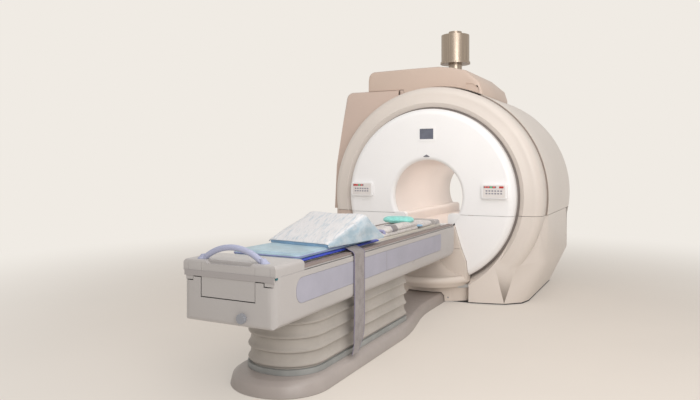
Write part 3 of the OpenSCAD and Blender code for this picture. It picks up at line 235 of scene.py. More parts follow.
def crinkled_film(name, rgb):
    """Thin non-woven hygiene cover: pale, a little glossy, letting the cushion's colour through, its upright
    sides painted darker and bluer as painted shade.
    """
    f = Finish(name, rgb, 0.42, Specular_IOR_Level=0.5, Coat_Weight=0.15, Coat_Roughness=0.3)
    warped = f.node("ShaderNodeMapping", {"Vector": f.place, "Scale": (3.4, 0.5, 1.4),
                                          "Rotation": (0.0, 0.0, 0.62)}).outputs["Vector"]
    folds = f.cloud(16, 5, 0.6, warped)
    sharp = f.node("ShaderNodeTexVoronoi", {"Vector": warped, "Scale": 24.0, "Randomness": 1.0},
                   feature="DISTANCE_TO_EDGE").outputs["Distance"]
    # Painted shade: faces that turn to the side are tinted darker and bluer, less where the folds rise.
    upright_shade = f.span(f.axis(f.node("ShaderNodeTexCoord").outputs["Normal"], "Z"), 0.75, 0.35, 0, 0.85)
    patchy = f.span(folds, 0.42, 0.62, 1.0, 0.62)
    # Blue tint: the cushion showing through where the folds rise, and painted shade on the upright sides.
    blue_through_and_side_shade = f.math("MAXIMUM", f.span(folds, 0.50, 0.68, 0, 0.55), f.math("MULTIPLY", upright_shade, patchy))
    f.paint(f.mix(blue_through_and_side_shade, f.rgb, tint(148, 176, 192)), f.span(folds, 0.3, 0.7, 0.34, 0.56))
    creases = f.math("MULTIPLY", f.span(sharp, 0, 0.14, 0, 1), 0.25)
    f.relief(f.math("ADD", f.math("MULTIPLY", folds, 1.4), creases), 0.55, 0.006)
    return f


def ribbed_rubber(name, rgb):
    """Coated fabric of the bellows: matt, with dust in the folds and a faint drawn grain."""
    f = Finish(name, rgb, 0.62, Specular_IOR_Level=0.3, Sheen_Weight=0.1)
    dusty = f.span(f.cloud(20, 4, 0.6), 0.5, 0.8, 0, 0.25)
    f.paint(f.mix(dusty, f.mix(f.drift(3.0, 4), f.tone(0.95), f.tone(1.03)), f.tone(0.85)),
            f.drift(45, 3, 0.55, 0.7))
    f.relief(f.math("ADD", f.cloud(700), f.math("MULTIPLY", f.cloud(14, 3), 1.5)), 0.12, 0.0012)
    return f


def dark_glass(name, rgb, rough=0.08):
    """Screen glass: near black, smooth, with the faint grey of a panel behind it."""
    f = Finish(name, rgb, rough, Coat_Weight=0.6, Coat_Roughness=0.04, Specular_IOR_Level=0.6)
    smear = f.cloud(14, 4)
    f.paint(f.mix(f.span(smear, 0.3, 0.7, 0, 0.5), f.rgb, f.tone(1.25)),
            f.span(smear, 0.35, 0.7, rough, rough + 0.08))
    return f


def lit(name, rgb):
    """A glowing segment behind smoked plastic."""
    f = Finish(name, rgb, 0.3, Emission_Strength=0.6)
    glow = f.mix(f.drift(300, 2), f.tone(0.9), f.tone(1.05))
    f.paint(glow)
    f.tree.links.new(glow, f.shader.inputs["Emission Color"])
    return f


def webbing_cloth(name, rgb):
    """Narrow-loom webbing: fine ribs along the strap and a herringbone across."""
    f = Finish(name, rgb, 0.82, Sheen_Weight=0.25, Specular_IOR_Level=0.2)
    across = f.node("ShaderNodeUVMap").outputs["UV"]
    ribs = f.bands(across, 13.0, 0.2, "X")
    twill = f.bands(across, 60.0, 0.4, "DIAGONAL")
    patchy = f.span(f.cloud(18, 4), 0.35, 0.7, 0, 1)
    base = f.mix(patchy, f.tone(0.92), f.tone(1.06))
    from_middle = f.math("ABSOLUTE", f.math("SUBTRACT", f.axis(across, "X"), 0.5))
    base = f.mix(f.span(from_middle, 0.43, 0.46, 0, 0.75), base, tint(112, 104, 142))
    f.paint(f.mix(f.math("MULTIPLY", f.math("MULTIPLY", ribs, twill), 0.3), base, f.tone(0.6)))
    f.relief(f.math("ADD", f.math("MULTIPLY", ribs, 0.6), twill), 0.35, 0.0008)
    return f


WHITE, CREAM = (247, 246, 246), (222, 213, 205)

finishes = {f.name: f.material for f in (
    moulded("white_cover", WHITE, 0.3, dust=0.02),
    moulded("cream_cover", CREAM, 0.38, dust=0.03),
    moulded("beige_cover", (220, 209, 199), 0.38, dust=0.03),
    # Shoulder and turret covers: the cream cover painted darker and pinker, as painted shade.
    moulded("shoulder_cover", (206, 186, 174), 0.42, dust=0.04),
    moulded("turret_cover", (204, 184, 170), 0.42, dust=0.04),
    textured("seal", (124, 116, 112), 0.6, 300, 0.0003, 0.06),
    textured("pale_seal", (150, 138, 130), 0.6, 300, 0.0003, 0.06),
    dark_glass("readout", (96, 92, 98), 0.2),
    lit("lit_green", (70, 190, 110)),
    lit("lit_red", (230, 60, 50)),
    woven("knot_cloth", (172, 172, 206)),
    vinyl("tip_blue", (150, 190, 220)),
    # Couch covers: the gantry's cream painted darker and greyer, as painted shade.
    moulded("couch_cover", (181, 177, 175), 0.36, dust=0.04),
    moulded("grey_cover", (166, 161, 160), 0.4, dust=0.04),
    moulded("plinth_cover", (178, 169, 164), 0.42, dust=0.05, floor_darkening=0.3),
    textured("inlay", (170, 169, 182), 0.5, 300, 0.0004, 0.03),
    textured("rail", (150, 136, 132), 0.42, 240, 0.0003, 0.06),
    moulded("tabletop", (226, 220, 208), 0.34, dust=0.04),
    textured("handle", (172, 176, 200), 0.48, 340, 0.0004, 0.03),
    moulded("liner", (236, 227, 221), 0.34, dust=0.03),
    ribbed_rubber("bellows", (177, 171, 164)),
    textured("collar", (158, 160, 158), 0.55),
    textured("keypad", (230, 225, 222), 0.5, 500, 0.0002, 0.03),
    textured("grey_plastic", (150, 152, 158), 0.5, 300, 0.0003, 0.05),
    textured("red_key", (196, 52, 44), 0.4, 500, 0.0002, 0.05),
    dark_glass("screen_glass", (88, 92, 107)),
    brushed("stainless", (176, 162, 148), 0.28, (30, 30, 0.35), 3.0, 0.6),
    brushed("steel", (164, 166, 170), 0.4, (1, 1, 30), 6.0),
    brushed("vessel_steel", (180, 182, 186), 0.42, (1, 30, 1), 5.0),
    textured("dark_frame", (52, 50, 50), 0.6),
    brushed("aluminium", (196, 198, 202), 0.32, (30, 30, 1), 8.0),
    textured("resin", (176, 122, 74), 0.5, 80, 0.0008, 0.15),
    textured("belt", (34, 34, 36), 0.65, 300, 0.0005, 0.1),
    textured("teal_rubber", (44, 104, 112), 0.6, 260, 0.0005, 0.08),
    vinyl("blue_vinyl", (44, 66, 184)),
    vinyl("light_vinyl", (164, 190, 202)),
    vinyl("wedge_vinyl", (150, 184, 214)),
    woven("white_cloth", (232, 226, 222)),
    woven("teal_cloth", (166, 244, 235), 800.0),
    webbing_cloth("webbing", (150, 143, 142)),
    crinkled_film("cover_film", (222, 221, 222)),
    woven("grey_thread", (150, 148, 150), 1200.0),
    woven("piping", (150, 146, 206), 1200.0),
    textured("key_grey", (150, 148, 158), 0.5, 500, 0.0002, 0.04),
    textured("mark", (120, 120, 126), 0.5, 500, 0.0002, 0.03),
)}


# Making pieces

def mesh_piece(name, points, faces, finish=None, edges=()):
    """A piece from its points and its faces or edges."""
    mesh = bpy.data.meshes.new(name)
    mesh.from_pydata([tuple(p) for p in points], edges, faces)
    if finish:
        mesh.materials.append(finishes[finish])
    piece = bpy.data.objects.new(name, mesh)
    scene.collection.objects.link(piece)
    return piece


def soften(piece, angle):
    """Smooth shading, with edges sharper than the angle kept."""
    mesh = piece.data
    mesh.polygons.foreach_set("use_smooth", [True] * len(mesh.polygons))
    bm = bmesh.new()
    bm.from_mesh(mesh)
    for edge in bm.edges:
        edge.smooth = len(edge.link_faces) == 2 and edge.calc_face_angle(0) < math.radians(angle)
    bm.to_mesh(mesh)
    bm.free()


def grid(rows, columns):
    """Faces of a sheet of points in rows."""
    return [(j * columns + i, j * columns + i + 1, (j + 1) * columns + i + 1, (j + 1) * columns + i)
            for j in range(rows - 1) for i in range(columns - 1)]


def face_out(piece, angle=None):
    """Merges doubled points, turns every face outwards and smooths up to the angle, if one is given."""
    bm = bmesh.new()
    bm.from_mesh(piece.data)
    bmesh.ops.remove_doubles(bm, verts=bm.verts, dist=1e-5)
    bmesh.ops.recalc_face_normals(bm, faces=bm.faces)
    bm.to_mesh(piece.data)
    bm.free()
    if angle:
        soften(piece, angle)


def merged_copy(node):
    """A copy of the node with its loose triangles joined into one mesh."""
    mesh = nodes[node].data.copy()
    bm = bmesh.new()
    bm.from_mesh(mesh)
    bmesh.ops.remove_doubles(bm, verts=bm.verts, dist=2e-5)
    bmesh.ops.dissolve_degenerate(bm, edges=bm.edges, dist=1e-6)
    bm.to_mesh(mesh)
    bm.free()
    mesh.materials.clear()
    piece = bpy.data.objects.new(node + "_dressed", mesh)
    scene.collection.objects.link(piece)
    return piece


def join(pieces):
    """Joins pieces into the first one."""
    bm = bmesh.new()
    for piece in pieces:
        bm.from_mesh(piece.data)
    bm.to_mesh(pieces[0].data)
    bm.free()
    for piece in pieces[1:]:
        bpy.data.objects.remove(piece)
    return pieces[0]


def apply_modifiers(piece):
    bpy.context.view_layer.update()
    result = piece.evaluated_get(bpy.context.evaluated_depsgraph_get())
    mesh = bpy.data.meshes.new_from_object(result)
    piece.modifiers.clear()
    piece.data = mesh


def modify(piece, kind, **settings):
    """Adds a modifier with its settings and applies it."""
    modifier = piece.modifiers.new(kind.lower(), kind)
    assign(modifier, **settings)
    apply_modifiers(piece)


def loft(rings):
    """Points and faces through rings of equal length."""
    n = len(rings[0])
    points = [p for ring in rings for p in ring]
    faces = [(k * n + i, k * n + (i + 1) % n, (k + 1) * n + (i + 1) % n, (k + 1) * n + i)
             for k in range(len(rings) - 1) for i in range(n)]
    return points, faces


def caps_of(rings):
    """Faces that close a loft's first and last ring."""
    n = len(rings[0])
    return [tuple(reversed(range(n))), tuple(range((len(rings) - 1) * n, len(rings) * n))]


def body_of(node):
    return nodes[node]["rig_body"]


def fitting(piece, angle, body):
    """Turns a small fitting's faces out, smooths it and gives it its body."""
    face_out(piece, angle)
    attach(piece, body)


def hand(side):
    return "right" if side > 0 else "left"


def full_turn(count):
    """Equal angles round a full turn."""
    return [2 * math.pi * k / count for k in range(count)]


def clamp(value):
    return max(0.0, min(1.0, value))


SHARP = 32


def dress(node, finish, edge):
    """The node as a smooth piece with its finish; edge is the radius of its broken edges."""
    piece = merged_copy(node)
    piece.data.materials.append(finishes[finish])
    soften(piece, SHARP)
    if edge:
        bevel = piece.modifiers.new("broken edges", "BEVEL")
        assign(bevel, width=edge, segments=2, limit_method="ANGLE", angle_limit=math.radians(SHARP + 8),
               use_clamp_overlap=True, harden_normals=True)
    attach(piece, body_of(node))
    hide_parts(node)


# Rigid parts: finish, radius of the broken edges, nodes
rigid = [
    ("white_cover", 0.0015, "front_upper_cover front_right_cover front_left_cover"),
    ("beige_cover", 0.003, "nose_upper_cover nose_lower_cover"), ("cream_cover", 0.003, "ring_cover"),
    ("cream_cover", 0.004, "right_corner_cover"),
    ("shoulder_cover", 0.004, "left_corner_cover left_shoulder_cover"),
    ("cream_cover", 0.002, "barrel_cover"), ("turret_cover", 0.006, "turret_cover"),
    ("cream_cover", 0.002, "rear_upper_cover"), ("cream_cover", 0.003, "rear_lower_cover"),
    ("stainless", 0, "vent_pipe"), ("stainless", 0.0015, "vent_sleeve"),
    ("white_cover", 0.002, "screen_bezel"), ("screen_glass", 0.0005, "screen"),
    ("mark", 0.001, "laser_window"), ("white_cover", 0.003, "left_panel right_panel"),
    ("red_key", 0.001, "left_stop_key right_stop_key"), ("liner", 0, "bore_liner"),
    ("liner", 0.003, "bore_bridge"), ("white_cover", 0.002, "bridge_apron"),
    ("plinth_cover", 0.002, "plinth_cover"), ("collar", 0.002, "bellows_collar"),
    ("couch_cover", 0.002, "couch_shell"), ("inlay", 0.0006, "side_inlays"),
    ("couch_cover", 0.0015, "top_deck"), ("rail", 0.0008, "accessory_rails"),
    ("grey_plastic", 0.0012, "foot_knob"), ("couch_cover", 0.002, "table_end_cap"),
    ("grey_cover", 0.0008, "end_cap_face"), ("teal_rubber", 0.002, "cap_buffers"),
    ("handle", 0, "tube_handle"), ("tabletop", 0.002, "tabletop"), ("couch_cover", 0.006, "head_block"),
    ("dark_frame", 0.001, "couch_base base_frame"),
    ("aluminium", 0.001, "fixed_columns middle_columns top_columns"), ("steel", 0.001, "couch_frame"),
    ("dark_frame", 0.001, "drive_motor"), ("aluminium", 0, "drive_pulley"), ("belt", 0, "drive_belt"),
    ("steel", 0.001, "magnet_supports"), ("vessel_steel", 0.002, "magnet_vessel"),
    ("resin", 0.002, "gradient_coil body_coil"),
]
for finish, edge, names in rigid:
    for node in names.split():
        dress(node, finish, edge)


# Seals and screws of the gantry, joint lines of the couch

AXIS_Z = 1.05


def turned(name, profile, first, last, finish, steps=160):
    """A closed profile of radius and depth, turned round the tunnel's axis between two angles."""
    points = []
    for k in range(steps + 1):
        a = math.radians(first + (last - first) * k / steps)
        points += [(r * math.cos(a), y, AXIS_Z + r * math.sin(a)) for r, y in profile]
    n = len(profile)
    faces = [(k * n + i, (k + 1) * n + i, (k + 1) * n + (i + 1) % n, k * n + (i + 1) % n)
             for k in range(steps) for i in range(n)]
    faces += [tuple(range(n)), tuple(reversed(range(steps * n, steps * n + n)))]
    fitting(mesh_piece(name, points, faces, finish), 30, "gantry")


def bar(name, low, high, finish, edge, body):
    """A plain bar with broken edges."""
    points = [(x, y, z) for x in (low[0], high[0]) for y in (low[1], high[1]) for z in (low[2], high[2])]
    faces = [(0, 1, 3, 2), (4, 6, 7, 5), (0, 4, 5, 1), (2, 3, 7, 6), (0, 2, 6, 4), (1, 5, 7, 3)]
    piece = mesh_piece(name, points, faces, finish)
    face_out(piece)
    modify(piece, "BEVEL", width=edge, segments=2)
    soften(piece, 40)
    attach(piece, body)


for side in (-1, 1):
    inner, outer = sorted((side * 0.3200, side * 0.3230))
    bar("inlay_joint_" + hand(side), (inner, -1.7414, 0.589), (outer, -1.7388, 0.729), "seal", 0.0002,
        "couch")
turned("disc_seal", [(0.866, 0.1165), (0.890, 0.1165), (0.9040, 0.1225), (0.9035, 0.1245), (0.866, 0.1200)],
       -62, 242, "seal")
turned("ring_seal", [(1.100, 0.3424), (1.1190, 0.3424), (1.1325, 0.3455), (1.1325, 0.3480), (1.100, 0.3448)],
       -9, 66, "pale_seal")
bar("shoulder_seal", (-0.4270, 0.333, 2.121), (-0.3835, 1.42, 2.174), "shoulder_cover", 0.002, "gantry")


UP, DOWN = Vector((0, 0, 1)), (0, 0, -1)
SKIRT_CENTRE_Y, SKIRT_R, SKIRT_WALL = 0.479, 0.5486, 0.004


def skirt_return(side, first=0.306, last=0.4005, low=0.0155, high=0.1435, steps=12):
    """Corner of the nose's skirt between its front and the corner cover."""
    points = []
    for k in range(steps + 1):
        x = first + (last - first) * k / steps
        for z in (low, high):
            for r in (SKIRT_R, SKIRT_R - SKIRT_WALL):
                points.append((side * x, SKIRT_CENTRE_Y - math.sqrt(r * r - x * x), z))
    faces = []
    for k in range(steps):
        a, b = 4 * k, 4 * k + 4
        faces += [(a, a + 2, b + 2, b), (a + 1, b + 1, b + 3, a + 3), (a, b, b + 1, a + 1),
                  (a + 2, a + 3, b + 3, b + 2)]
    faces += [(0, 1, 3, 2), (b, b + 2, b + 3, b + 1)]
    fitting(mesh_piece("skirt_return_" + hand(side), points, faces, "beige_cover"), 40, "gantry")


def skirt_screw(side, turn=-65, height=0.050, radius=0.5470):
    """Flat screw cap in the skirt's recess."""
    out = Vector((math.cos(math.radians(turn)), math.sin(math.radians(turn)), 0))
    across = Vector((-out.y, out.x, 0))
    middle = Vector((0, SKIRT_CENTRE_Y, height)) + out * radius
    angles = full_turn(24)
    rings = []
    for depth, r in ((-0.004, 0.0072), (0.0006, 0.0072), (0.0012, 0.0066), (0.0012, 0.0032),
                     (0.0002, 0.0028)):
        rings.append([middle + out * depth + (across * math.cos(a) + UP * math.sin(a)) * r for a in angles])
    points, faces = loft([[(side * v.x, v.y, v.z) for v in ring] for ring in rings])
    faces += caps_of(rings)
    fitting(mesh_piece("skirt_screw_" + hand(side), points, faces, "grey_plastic"), 40, "gantry")


for side in (1, -1):
    skirt_return(side)
for side in (1, -1):
    skirt_screw(side)


# Bellows: one fold, repeated up the lift by Geometry Nodes

HALF_WIDTH, FOOT_Y, HEAD_Y, FOOT_R, HEAD_R = 0.263, -2.812, -1.163, 0.245, 0.05
FOLDS, FOLD_DEPTH = 4, 0.022
COLLAR_TOP, COUCH_UNDERSIDE = 0.128, 0.4797
CREASE = 0.012
PITCH = (COUCH_UNDERSIDE - COLLAR_TOP - CREASE) / FOLDS
# Height and depth of the wall over one fold, both as fractions: undercut, bead, hollow band
FOLD = [(0.0, -0.95), (0.02, -0.62), (0.045, -0.26), (0.08, -0.08), (0.115, -0.015), (0.15, 0.0),
        (0.19, -0.03), (0.24, -0.12), (0.29, -0.26), (0.35, -0.43), (0.43, -0.58), (0.53, -0.7),
        (0.65, -0.79), (0.78, -0.85), (0.9, -0.89)]


def dense_outline(outline, step):
    """The outline with points added on its long sides."""
    dense = []
    for i, p in enumerate(outline):
        q = outline[(i + 1) % len(outline)]
        count = max(1, int(math.dist(p, q) / step))
        dense += [tuple(p[k] + (q[k] - p[k]) * s / count for k in (0, 1)) for s in range(count)]
    return dense


def corners_round(corners, n):
    """Quarter circles, each of n steps, at the given centre, radius and first angle."""
    return [(cx + r * math.cos(a), cy + r * math.sin(a)) for cx, cy, r, start in corners
            for a in (math.radians(start + 90 * i / n) for i in range(n + 1))]


def bellows_plan(w, y0, y1, r0, r1):
    """Plan of the bellows: wide round corners at the foot end, tight ones at the head."""
    return dense_outline(corners_round([(w - r0, y0 + r0, r0, -90), (w - r1, y1 - r1, r1, 0),
                                        (r1 - w, y1 - r1, r1, 90), (r0 - w, y0 + r0, r0, 180)], 10), 0.08)


PLAN = bellows_plan(HALF_WIDTH, FOOT_Y, HEAD_Y, FOOT_R, HEAD_R)


def plan_ring(d, z):
    """The plan grown by d at one height, a little uneven, as hanging cloth is."""
    centre_y = (FOOT_Y + HEAD_Y) / 2
    ring = []
    for i, at in enumerate(PLAN):
        before, after = PLAN[i - 1], PLAN[(i + 1) % len(PLAN)]
        along = Vector((after[0] - before[0], after[1] - before[1], 0)).normalized()
        out = Vector((along.y, -along.x, 0))
        x, y = at[0] + out.x * d, at[1] + out.y * d
        sag = 0.0025 * noise.noise(Vector((x * 2.2, (y - centre_y) * 1.1, z * 5.0)))
        ring.append((x + out.x * sag, y + out.y * sag, z))
    return ring


def node_group(name, sockets):
    """An empty Geometry Nodes tree with its named inputs: name, kind, value."""
    tree = bpy.data.node_groups.new(name, "GeometryNodeTree")
    tree.interface.new_socket("Geometry", in_out="INPUT", socket_type="NodeSocketGeometry")
    for label, kind, value in sockets:
        socket = tree.interface.new_socket(label, in_out="INPUT", socket_type=kind)
        if value is not None:
            socket.default_value = value
    tree.interface.new_socket("Geometry", in_out="OUTPUT", socket_type="NodeSocketGeometry")
    return tree, tree.nodes.new("NodeGroupInput"), tree.nodes.new("NodeGroupOutput")


def new_nodes(tree, family, *kinds):
    return [tree.nodes.new(family + kind) for kind in kinds]


def wire(tree, *wires):
    """Links nodes: from, its output, to, its input."""
    for source, output, target, socket in wires:
        tree.links.new(source.outputs[output], target.inputs[socket])


def repeat_tree():
    """Copies the piece in a row: Count, Step. Ends in Realize Instances, a merge and Set Material."""
    tree, given, made = node_group("repeat in a row", [
        ("Count", "NodeSocketInt", 2), ("Step", "NodeSocketVector", (0, 0, 0.1)),
        ("Merge distance", "NodeSocketFloat", 0.0001), ("Material", "NodeSocketMaterial", None)])
    line, on_points, realize, merge, paint = new_nodes(
        tree, "GeometryNode", "MeshLine", "InstanceOnPoints", "RealizeInstances", "MergeByDistance",
        "SetMaterial")
    wire(tree, (given, "Count", line, "Count"), (given, "Step", line, "Offset"),
         (given, "Geometry", on_points, "Instance"), (line, "Mesh", on_points, "Points"),
         (on_points, "Instances", realize, "Geometry"), (realize, "Geometry", merge, "Geometry"),
         (given, "Merge distance", merge, "Distance"), (merge, "Geometry", paint, "Geometry"),
         (given, "Material", paint, "Material"), (paint, "Geometry", made, "Geometry"))
    return tree


REPEAT = repeat_tree()


def bake_nodes(piece, tree, **values):
    """Runs a Geometry Nodes tree on the piece and keeps the plain mesh."""
    modifier = piece.modifiers.new("repeat", "NODES")
    modifier.node_group = tree
    for item in tree.interface.items_tree:
        if item.item_type == "SOCKET" and item.in_out == "INPUT" and item.name in values:
            modifier[item.identifier] = values[item.name]
    old = piece.data
    apply_modifiers(piece)
    bpy.data.meshes.remove(old)


def make_bellows():
    """Four folds on a lip, between the collar and the couch's underside."""
    z0 = COLLAR_TOP + CREASE
    rings = [plan_ring(depth * FOLD_DEPTH, z0 + height * PITCH) for height, depth in FOLD]
    rings.append([(p[0], p[1], z0 + PITCH) for p in rings[0]])
    points, faces = loft(rings)
    fold = mesh_piece("bellows_skin", points, faces, "bellows")
    bake_nodes(fold, REPEAT, Count=FOLDS, Step=(0.0, 0.0, PITCH), Material=finishes["bellows"],
               **{"Merge distance": 0.0005})
    lip = loft([plan_ring(-0.8 * FOLD_DEPTH, COLLAR_TOP + 0.0004),
                plan_ring(-0.9 * FOLD_DEPTH, COLLAR_TOP + 0.006), [(p[0], p[1], z0) for p in rings[0]]])
    join([fold, mesh_piece("bellows_lip", *lip, "bellows")])
    face_out(fold)
    modify(fold, "SOLIDIFY", thickness=0.003, offset=-1)
    soften(fold, 50)
    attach(fold, body_of("bellows"))
    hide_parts("bellows")
    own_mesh(fold)


make_bellows()


# Soft goods

SWELL_STEPS = 20
CLOTH = dict(quality=5, mass=0.3, tension_stiffness=15.0, compression_stiffness=15.0, shear_stiffness=5,
             bending_stiffness=0.6, use_pressure=True)


def subdivide(piece, levels):
    modify(piece, "SUBSURF", levels=levels, render_levels=levels)


def swell(piece, pressure, cap, voxel):
    """Padded fabric: remeshed, swollen by cloth pressure without gravity, moved no further than the cap."""
    modify(piece, "REMESH", mode="VOXEL", voxel_size=voxel)
    rest = [v.co.copy() for v in piece.data.vertices]
    cloth = piece.modifiers.new("pressure", "CLOTH")
    assign(cloth.settings, uniform_pressure_force=pressure, **CLOTH)
    cloth.settings.effector_weights.gravity = 0
    cloth.collision_settings.use_collision = False
    cloth.point_cache.frame_start, cloth.point_cache.frame_end = 1, SWELL_STEPS
    for step in range(1, SWELL_STEPS + 1):
        scene.frame_set(step)
    apply_modifiers(piece)
    scene.frame_set(1)
    for v, was in zip(piece.data.vertices, rest):
        move = v.co - was
        if move.length > cap:
            v.co = was + move * (cap / move.length)
    subdivide(piece, 1)
    piece.data.polygons.foreach_set("use_smooth", [True] * len(piece.data.polygons))


def round_outline(w, l, r, n=8):
    """Rounded rectangle, anticlockwise, centred on the origin."""
    return corners_round([(w / 2 - r, r - l / 2, r, -90), (w / 2 - r, l / 2 - r, r, 0),
                          (r - w / 2, l / 2 - r, r, 90), (r - w / 2, r - l / 2, r, 180)], n)


RIM_TOP = 0.82


def cushion_form(w, l, h, r, pinch=0.5, steps=7):
    """Closed form of a cushion about its own centre: flat below, rounded rim, crowned above."""
    outline = round_outline(w, l, r)
    rings = []
    for i in range(steps + 1):
        t = i / steps
        z = h * t * RIM_TOP
        bulge = math.sin(math.pi * min(1, t * 1.05)) ** 0.6 if 0 < t < 1 else 0
        inset = pinch * h * (1 - bulge) * 0.5
        rings.append([(x * (1 - 2 * inset / w), y * (1 - 2 * inset / l), z) for x, y in outline])
    for shrink, lift in ((0.93, 0.9), (0.75, 0.96), (0.45, 0.99), (0.15, 1.0)):
        rings.append([(x * shrink, y * shrink, h * lift) for x, y, _ in rings[steps]])
    points, faces = loft(rings)
    return points, faces + caps_of(rings)


def placed(points, turn, at):
    """Points turned about Z by turn degrees, then moved."""
    c, s = math.cos(math.radians(turn)), math.sin(math.radians(turn))
    return [(x * c - y * s + at[0], x * s + y * c + at[1], z + at[2]) for x, y, z in points]


def hit_from(tree, start, way, reach):
    """Where a ray meets the piece, and the surface's normal there."""
    place, normal, _, _ = tree.ray_cast(Vector(start), Vector(way).normalized(), reach)
    return place, normal


def tree_of(piece):
    """The piece's surface, ready for rays and for nearest points."""
    bm = bmesh.new()
    bm.from_mesh(piece.data)
    tree = BVHTree.FromBMesh(bm)
    bm.free()
    return tree


def tube(points, radius, sides=8):
    """Points and faces of a closed round cord through the points."""
    rings, n = [], len(points)
    for i, p in enumerate(points):
        p = Vector(p)
        along = (Vector(points[(i + 1) % n]) - Vector(points[i - 1])).normalized()
        side = along.cross(UP)
        side = side.normalized() if side.length > 0.05 else Vector((1, 0, 0))
        up = side.cross(along).normalized()
        rings.append([tuple(p + side * radius * math.cos(a) + up * radius * math.sin(a))
                      for a in full_turn(sides)])
    made, faces = loft(rings)
    last = (n - 1) * sides
    return made, faces + [(last + k, last + (k + 1) % sides, (k + 1) % sides, k) for k in range(sides)]


def piping_round(name, pad, outline, z, radius, finish):
    """Sewn piping that lies on the pad's side all round, at the height z."""
    tree = tree_of(pad)
    route = []
    cx = sum(p[0] for p in outline) / len(outline)
    cy = sum(p[1] for p in outline) / len(outline)
    for i, (x, y) in enumerate(outline):
        before, after = outline[i - 1], outline[(i + 1) % len(outline)]
        out = Vector((after[1] - before[1], before[0] - after[0], 0)).normalized()
        if out.dot(Vector((x - cx, y - cy, 0))) < 0:
            out = -out
        place, _ = hit_from(tree, Vector((x, y, z)) + out * 0.06, -out, 0.12)
        route.append(place + out * radius * 0.3 if place else Vector((x, y, z)))
    piece = mesh_piece(name, *tube(route, radius), finish)
    face_out(piece, 60)
    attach(piece, "tabletop")


# Heights in the stack on the tabletop
MAT_Z, MAT_T = 0.7973, 0.016
PAD_Z, PAD_T = 0.8136, 0.022
WEDGE_Z = 0.8359


def settle(piece, floor):
    """Presses what sank below the floor flat."""
    for v in piece.data.vertices:
        v.co.z = max(v.co.z, floor)
    piece.data.update()


def soft(piece, node=None):
    """Lets a soft piece ride on the tabletop, in place of its node if it has one."""
    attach(piece, "tabletop")
    if node:
        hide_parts(node)


def padded_form(name, points, faces, finish, swelling=None, floor=None):
    """A closed form, swollen, and pressed flat where it lies on something."""
    piece = mesh_piece(name, points, faces, finish)
    face_out(piece)
    if swelling:
        swell(piece, *swelling)
    if floor:
        settle(piece, floor)
    return piece


def cushion(name, form, turn, at, finish, swelling=None, floor=None):
    """A cushion of the given form, turned and placed."""
    points, faces = cushion_form(*form)
    return padded_form(name, placed(points, turn, at), faces, finish, swelling, floor)


def make_mat():
    """Dark blue mat on the tabletop."""
    mat = cushion("blue_mat_pad", (0.512, 1.162, MAT_T, 0.03, 0.6), 0, (0, -2.29, MAT_Z), "blue_vinyl")
    subdivide(mat, 2)
    soften(mat, 70)
    soft(mat, "blue_mat")


PAD_W, PAD_L, PAD_R = 0.492, 1.072, 0.045
PAD_AT = (0.005, -2.33)
PAD_ROLL_L, PAD_ROLL_LIFT = 0.30, 0.55


def make_knee_pad():
    """Light pad over the mat: thin along the table, thicker and rounded at its foot end."""
    points, faces = cushion_form(PAD_W, PAD_L, PAD_T, PAD_R, 0.5)
    shaped = []
    for x, y, z in points:
        foot = clamp((-PAD_L / 2 + PAD_ROLL_L - y) / PAD_ROLL_L)
        lift = foot * foot * (3 - 2 * foot)
        shaped.append((x, y, z * (1 + PAD_ROLL_LIFT * lift)))
    pad = padded_form("knee_pad_soft", placed(shaped, 0, PAD_AT + (PAD_Z,)), faces, "light_vinyl",
                      (3.0, 0.006, 0.007), PAD_Z)
    soft(pad, "knee_pad")
    outline = dense_outline(round_outline(PAD_W, PAD_L, PAD_R), 0.03)
    edge = [(x + PAD_AT[0], y + PAD_AT[1]) for x, y in outline]
    piping_round("knee_pad_piping", pad, edge, PAD_Z + 0.014, 0.0025, "piping")
    return pad


WEDGE_AT, WEDGE_TURN = (0.052, -2.13), -8
WEDGE_W, WEDGE_L, WEDGE_H = 0.5, 0.69, 0.186


def make_wedge(inset=0.004):
    """The wedge's side view, from its foot end round over its ridge, drawn across and swollen."""
    end = WEDGE_L / 2
    profile = [(-end + inset, 0.0), (end - inset, 0.0), (end - 0.008 - inset, 0.014),
               (end - 0.222 - inset * 0.5, WEDGE_H - 0.01 - inset), (end - 0.25, WEDGE_H - inset),
               (-end - 0.006 + inset, 0.024)]
    half = WEDGE_W / 2 - inset
    points = [(x, y, z) for x in (-half, half) for y, z in profile]
    n = len(profile)
    faces = [tuple(range(n)), tuple(reversed(range(n, 2 * n)))]
    faces += [(i, n + i, n + (i + 1) % n, (i + 1) % n) for i in range(n)]
    wedge = padded_form("wedge_soft", placed(points, WEDGE_TURN, WEDGE_AT + (WEDGE_Z,)), faces, "wedge_vinyl",
                        (4.0, 0.006, 0.007), WEDGE_Z)
    soft(wedge, "wedge_cushion")
    return wedge


def crinkle(x, y, z):
    """Height of the cover's creases: long drawn folds with short ones across them."""
    drawn = noise.noise(Vector((x * 7 + y * 3, y * 2.2 - x * 1.5, z * 3)))
    short = noise.noise(Vector((x * 24, y * 17, z * 20 + 5)))
    ridge = 1 - abs(noise.noise(Vector((x * 13 + y * 5, y * 5 - x * 4, 2.3)))) * 2
    return 0.0035 * drawn + 0.0012 * short + 0.0022 * max(0, ridge - 0.55)


def lay_on(piece, tree, gap):
    """Lifts what lies closer than the gap, or sank in, to the gap above the surface below."""
    for v in piece.data.vertices:
        near, normal, _, _ = tree.find_nearest(v.co)
        if (v.co - near).dot(normal) < gap:
            v.co = near + normal * gap
    piece.data.update()


FILM_T, FILM_GAP = 0.0012, 0.0062
FILM_DROP_LEFT, FILM_DROP_RIGHT = 0.05, 0.19


def relax(piece, rounds):
    modify(piece, "SMOOTH", factor=0.5, iterations=rounds)


